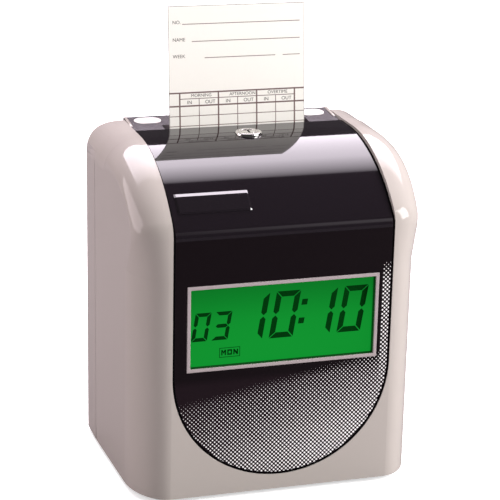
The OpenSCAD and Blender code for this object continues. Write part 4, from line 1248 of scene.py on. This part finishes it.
def threaded_screw(lead):
    """Lead screw with a thread of four starts between plain ends"""
    low, high = box_mm("lead_screw")
    _, y, z = middle("lead_screw")
    radius = (high.z - low.z) / 2
    plain_end = 9
    groove = 0.32
    starts = 4
    steepness = 1.8
    around = 32
    steps_each_lead = 24
    steps = int((high.x - low.x) / lead * steps_each_lead)
    points = []
    for i in range(steps + 1):
        x = low.x + (high.x - low.x) * i / steps
        plain = x < low.x + plain_end or x > high.x - plain_end
        for a in ring(around):
            wave = steepness * math.cos(starts * (2 * math.pi * x / lead - a))
            depth = 0 if plain else groove * (0.5 - 0.5 * max(-1, min(1, wave)))
            points.append((x, y + (radius - depth) * math.cos(a), z + (radius - depth) * math.sin(a)))
    faces = tube_faces(steps + 1, around) + end_faces(steps + 1, around)
    piece = new_piece("lead_screw_threaded", points, faces, "screw", "shaft_steel", ["lead_screw"])
    split_edges(piece, 50)


class CLOCK_OT_works(bpy.types.Operator):
    """Finishes the boards, frames, feed and print mechanism"""
    bl_idname = "clock.works"
    bl_label = "Works"

    def execute(self, context):
        for node, piece in frame["nodes"].items():
            if piece.modifiers or piece.hide_render or node in ("face_plate", "lead_screw"):
                continue
            soften(node)
        threaded_screw(context.scene.clock_sizes.screw_lead / MM)
        return {"FINISHED"}


# Stage

def stage_sheet(name, material, left, right, start, end):
    """Flat sheet from left to right, between two places (y, z)"""
    mesh = bpy.data.meshes.new(name)
    corners = [(left, *start), (right, *start), (right, *end), (left, *end)]
    mesh.from_pydata(corners, [], [[0, 1, 2, 3]])
    mesh.materials.append(material)
    piece = link(name, mesh)


def stage_floor():
    """Pale floor that glows white in the distance and is dim in mirror images"""
    s = Shader("floor_white")
    seen = s.ray("Is Camera Ray")
    x = s.along("X")
    y = s.along("Y")
    far = (x * x + y * y).root().ramp(0.5, 1.6)
    shade = s.mix(s.ray("Is Glossy Ray"), (0.45, 0.44, 0.44), (0.10, 0.095, 0.10))
    glow = s.mix(far, (0.55, 0.55, 0.55), (1.0, 1.0, 1.0))
    s.paint({
        "Base Color": s.mix(seen, shade, (0.9, 0.9, 0.9)),
        "Roughness": 0.9,
        "Specular IOR Level": 0.0,
        "Emission Color": s.mix(seen, (0.0, 0.0, 0.0), glow),
        "Emission Strength": 1.0,
    })
    stage_sheet("floor", s.material, -6, 6, (-6, 0), (8, 0))


def glow_paint(s, tint, level, fade):
    s.paint({"Base Color": (0, 0, 0), "Emission Color": s.scaled(tint, fade), "Emission Strength": level})


def softbox():
    """Large overhead diffuser that fades out towards its near edge"""
    left = -0.75
    right = 1.75
    near = 0.30
    far = 1.95
    height = 1.45
    fade_depth = 0.42
    s = Shader("softbox")
    fade = ((s.along("Y") - near) / fade_depth).lower(1.0).higher(0.0) ** 0.55
    glow_paint(s, SOFTBOX_TINT, SOFTBOX_LEVEL, fade)
    stage_sheet("softbox", s.material, left, right, (far, height), (near, height))


def front_card():
    """Dim card behind the camera that the fold of the panel mirrors"""
    left = 0.15
    right = 1.7
    low = 0.45
    high = 1.9
    y = -1.6
    s = Shader("front_card")
    x = s.along("X")
    z = s.along("Z")
    fade = x.ramp(left, left + 0.7) * z.ramp(low, low + 0.5) * z.ramp(high, high - 0.6)
    glow_paint(s, FRONT_CARD_TINT, FRONT_CARD_LEVEL, fade)
    stage_sheet("front_card", s.material, left, right, (y, high), (y, low))


def area_light(name, place, width, height, power, tint):
    data = bpy.data.lights.new(name, "AREA")
    data.shape = "RECTANGLE"
    data.size = width
    data.size_y = height
    data.energy = power
    data.color = tint
    lamp = link(name, data)
    lamp.location = place
    lamp.rotation_euler = (LAMP_TARGET - Vector(place)).to_track_quat("-Z", "Y").to_euler()


def studio_world(scene):
    """Even light, white where the camera sees it and dim in mirror images"""
    white = 1.2
    mirrored = 0.2 * WORLD_LEVEL
    scene.world = bpy.data.worlds.new("studio")
    s = Shader("studio", scene.world)
    strength = (s.ray("Is Camera Ray") * (white - WORLD_LEVEL)
                - s.ray("Is Glossy Ray") * (WORLD_LEVEL - mirrored) + WORLD_LEVEL)
    s.paint({"Color": WORLD_TINT, "Strength": strength})


def aim_camera(scene):
    down = math.radians(CAMERA_DOWN)
    yaw = math.radians(CAMERA_YAW)
    roll = math.radians(CAMERA_ROLL)
    data = bpy.data.cameras.new("camera")
    data.sensor_width = SENSOR_WIDTH
    data.lens = FOCAL_PIXELS * SENSOR_WIDTH / PICTURE_PIXELS
    data.clip_start = 0.05
    camera = link("camera", data)
    turn = Matrix.Rotation(-yaw, 4, "Z") @ Matrix.Rotation(math.pi / 2 - down, 4, "X")
    camera.matrix_world = Matrix.Translation(CAMERA_PLACE) @ turn @ Matrix.Rotation(roll, 4, "Z")
    scene.camera = camera


class CLOCK_OT_stage(bpy.types.Operator):
    """Sets the floor, the lights and the camera"""
    bl_idname = "clock.stage"
    bl_label = "Stage"

    def execute(self, context):
        context.scene.view_settings.view_transform = "Standard"
        stage_floor()
        softbox()
        front_card()
        for name, lamp in LAMPS.items():
            area_light(name, *lamp)
        studio_world(context.scene)
        aim_camera(context.scene)
        return {"FINISHED"}


class CLOCK_PT_panel(bpy.types.Panel):
    """Lists the pieces of the time clock"""
    bl_idname = "CLOCK_PT_panel"
    bl_label = "Time Clock"
    bl_space_type = "VIEW_3D"
    bl_region_type = "UI"
    bl_category = "Time Clock"

    def draw(self, context):
        for operator in OPERATORS:
            self.layout.operator(operator.bl_idname)
        for group in (context.scene.clock_sizes, context.scene.clock_colours):
            box = self.layout.box()
            for name in group.__annotations__:
                box.prop(group, name)


OPERATORS = (CLOCK_OT_cover, CLOCK_OT_panel, CLOCK_OT_display, CLOCK_OT_lock, CLOCK_OT_case, CLOCK_OT_card,
             CLOCK_OT_works, CLOCK_OT_stage)
CLASSES = (ClockSizes, ClockColours, *OPERATORS, CLOCK_PT_panel)


def register():
    for cls in CLASSES:
        bpy.utils.register_class(cls)
    bpy.types.Scene.clock_sizes = PointerProperty(type=ClockSizes)
    bpy.types.Scene.clock_colours = PointerProperty(type=ClockColours)


def unregister():
    del bpy.types.Scene.clock_colours
    del bpy.types.Scene.clock_sizes
    for cls in reversed(CLASSES):
        bpy.utils.unregister_class(cls)


def main():
    register()
    bpy.ops.clock.cover()
    bpy.ops.clock.panel()
    bpy.ops.clock.display()
    bpy.ops.clock.lock()
    bpy.ops.clock.case()
    bpy.ops.clock.card()
    bpy.ops.clock.works()
    bpy.ops.clock.stage()


if __name__ == "__main__":
    main()
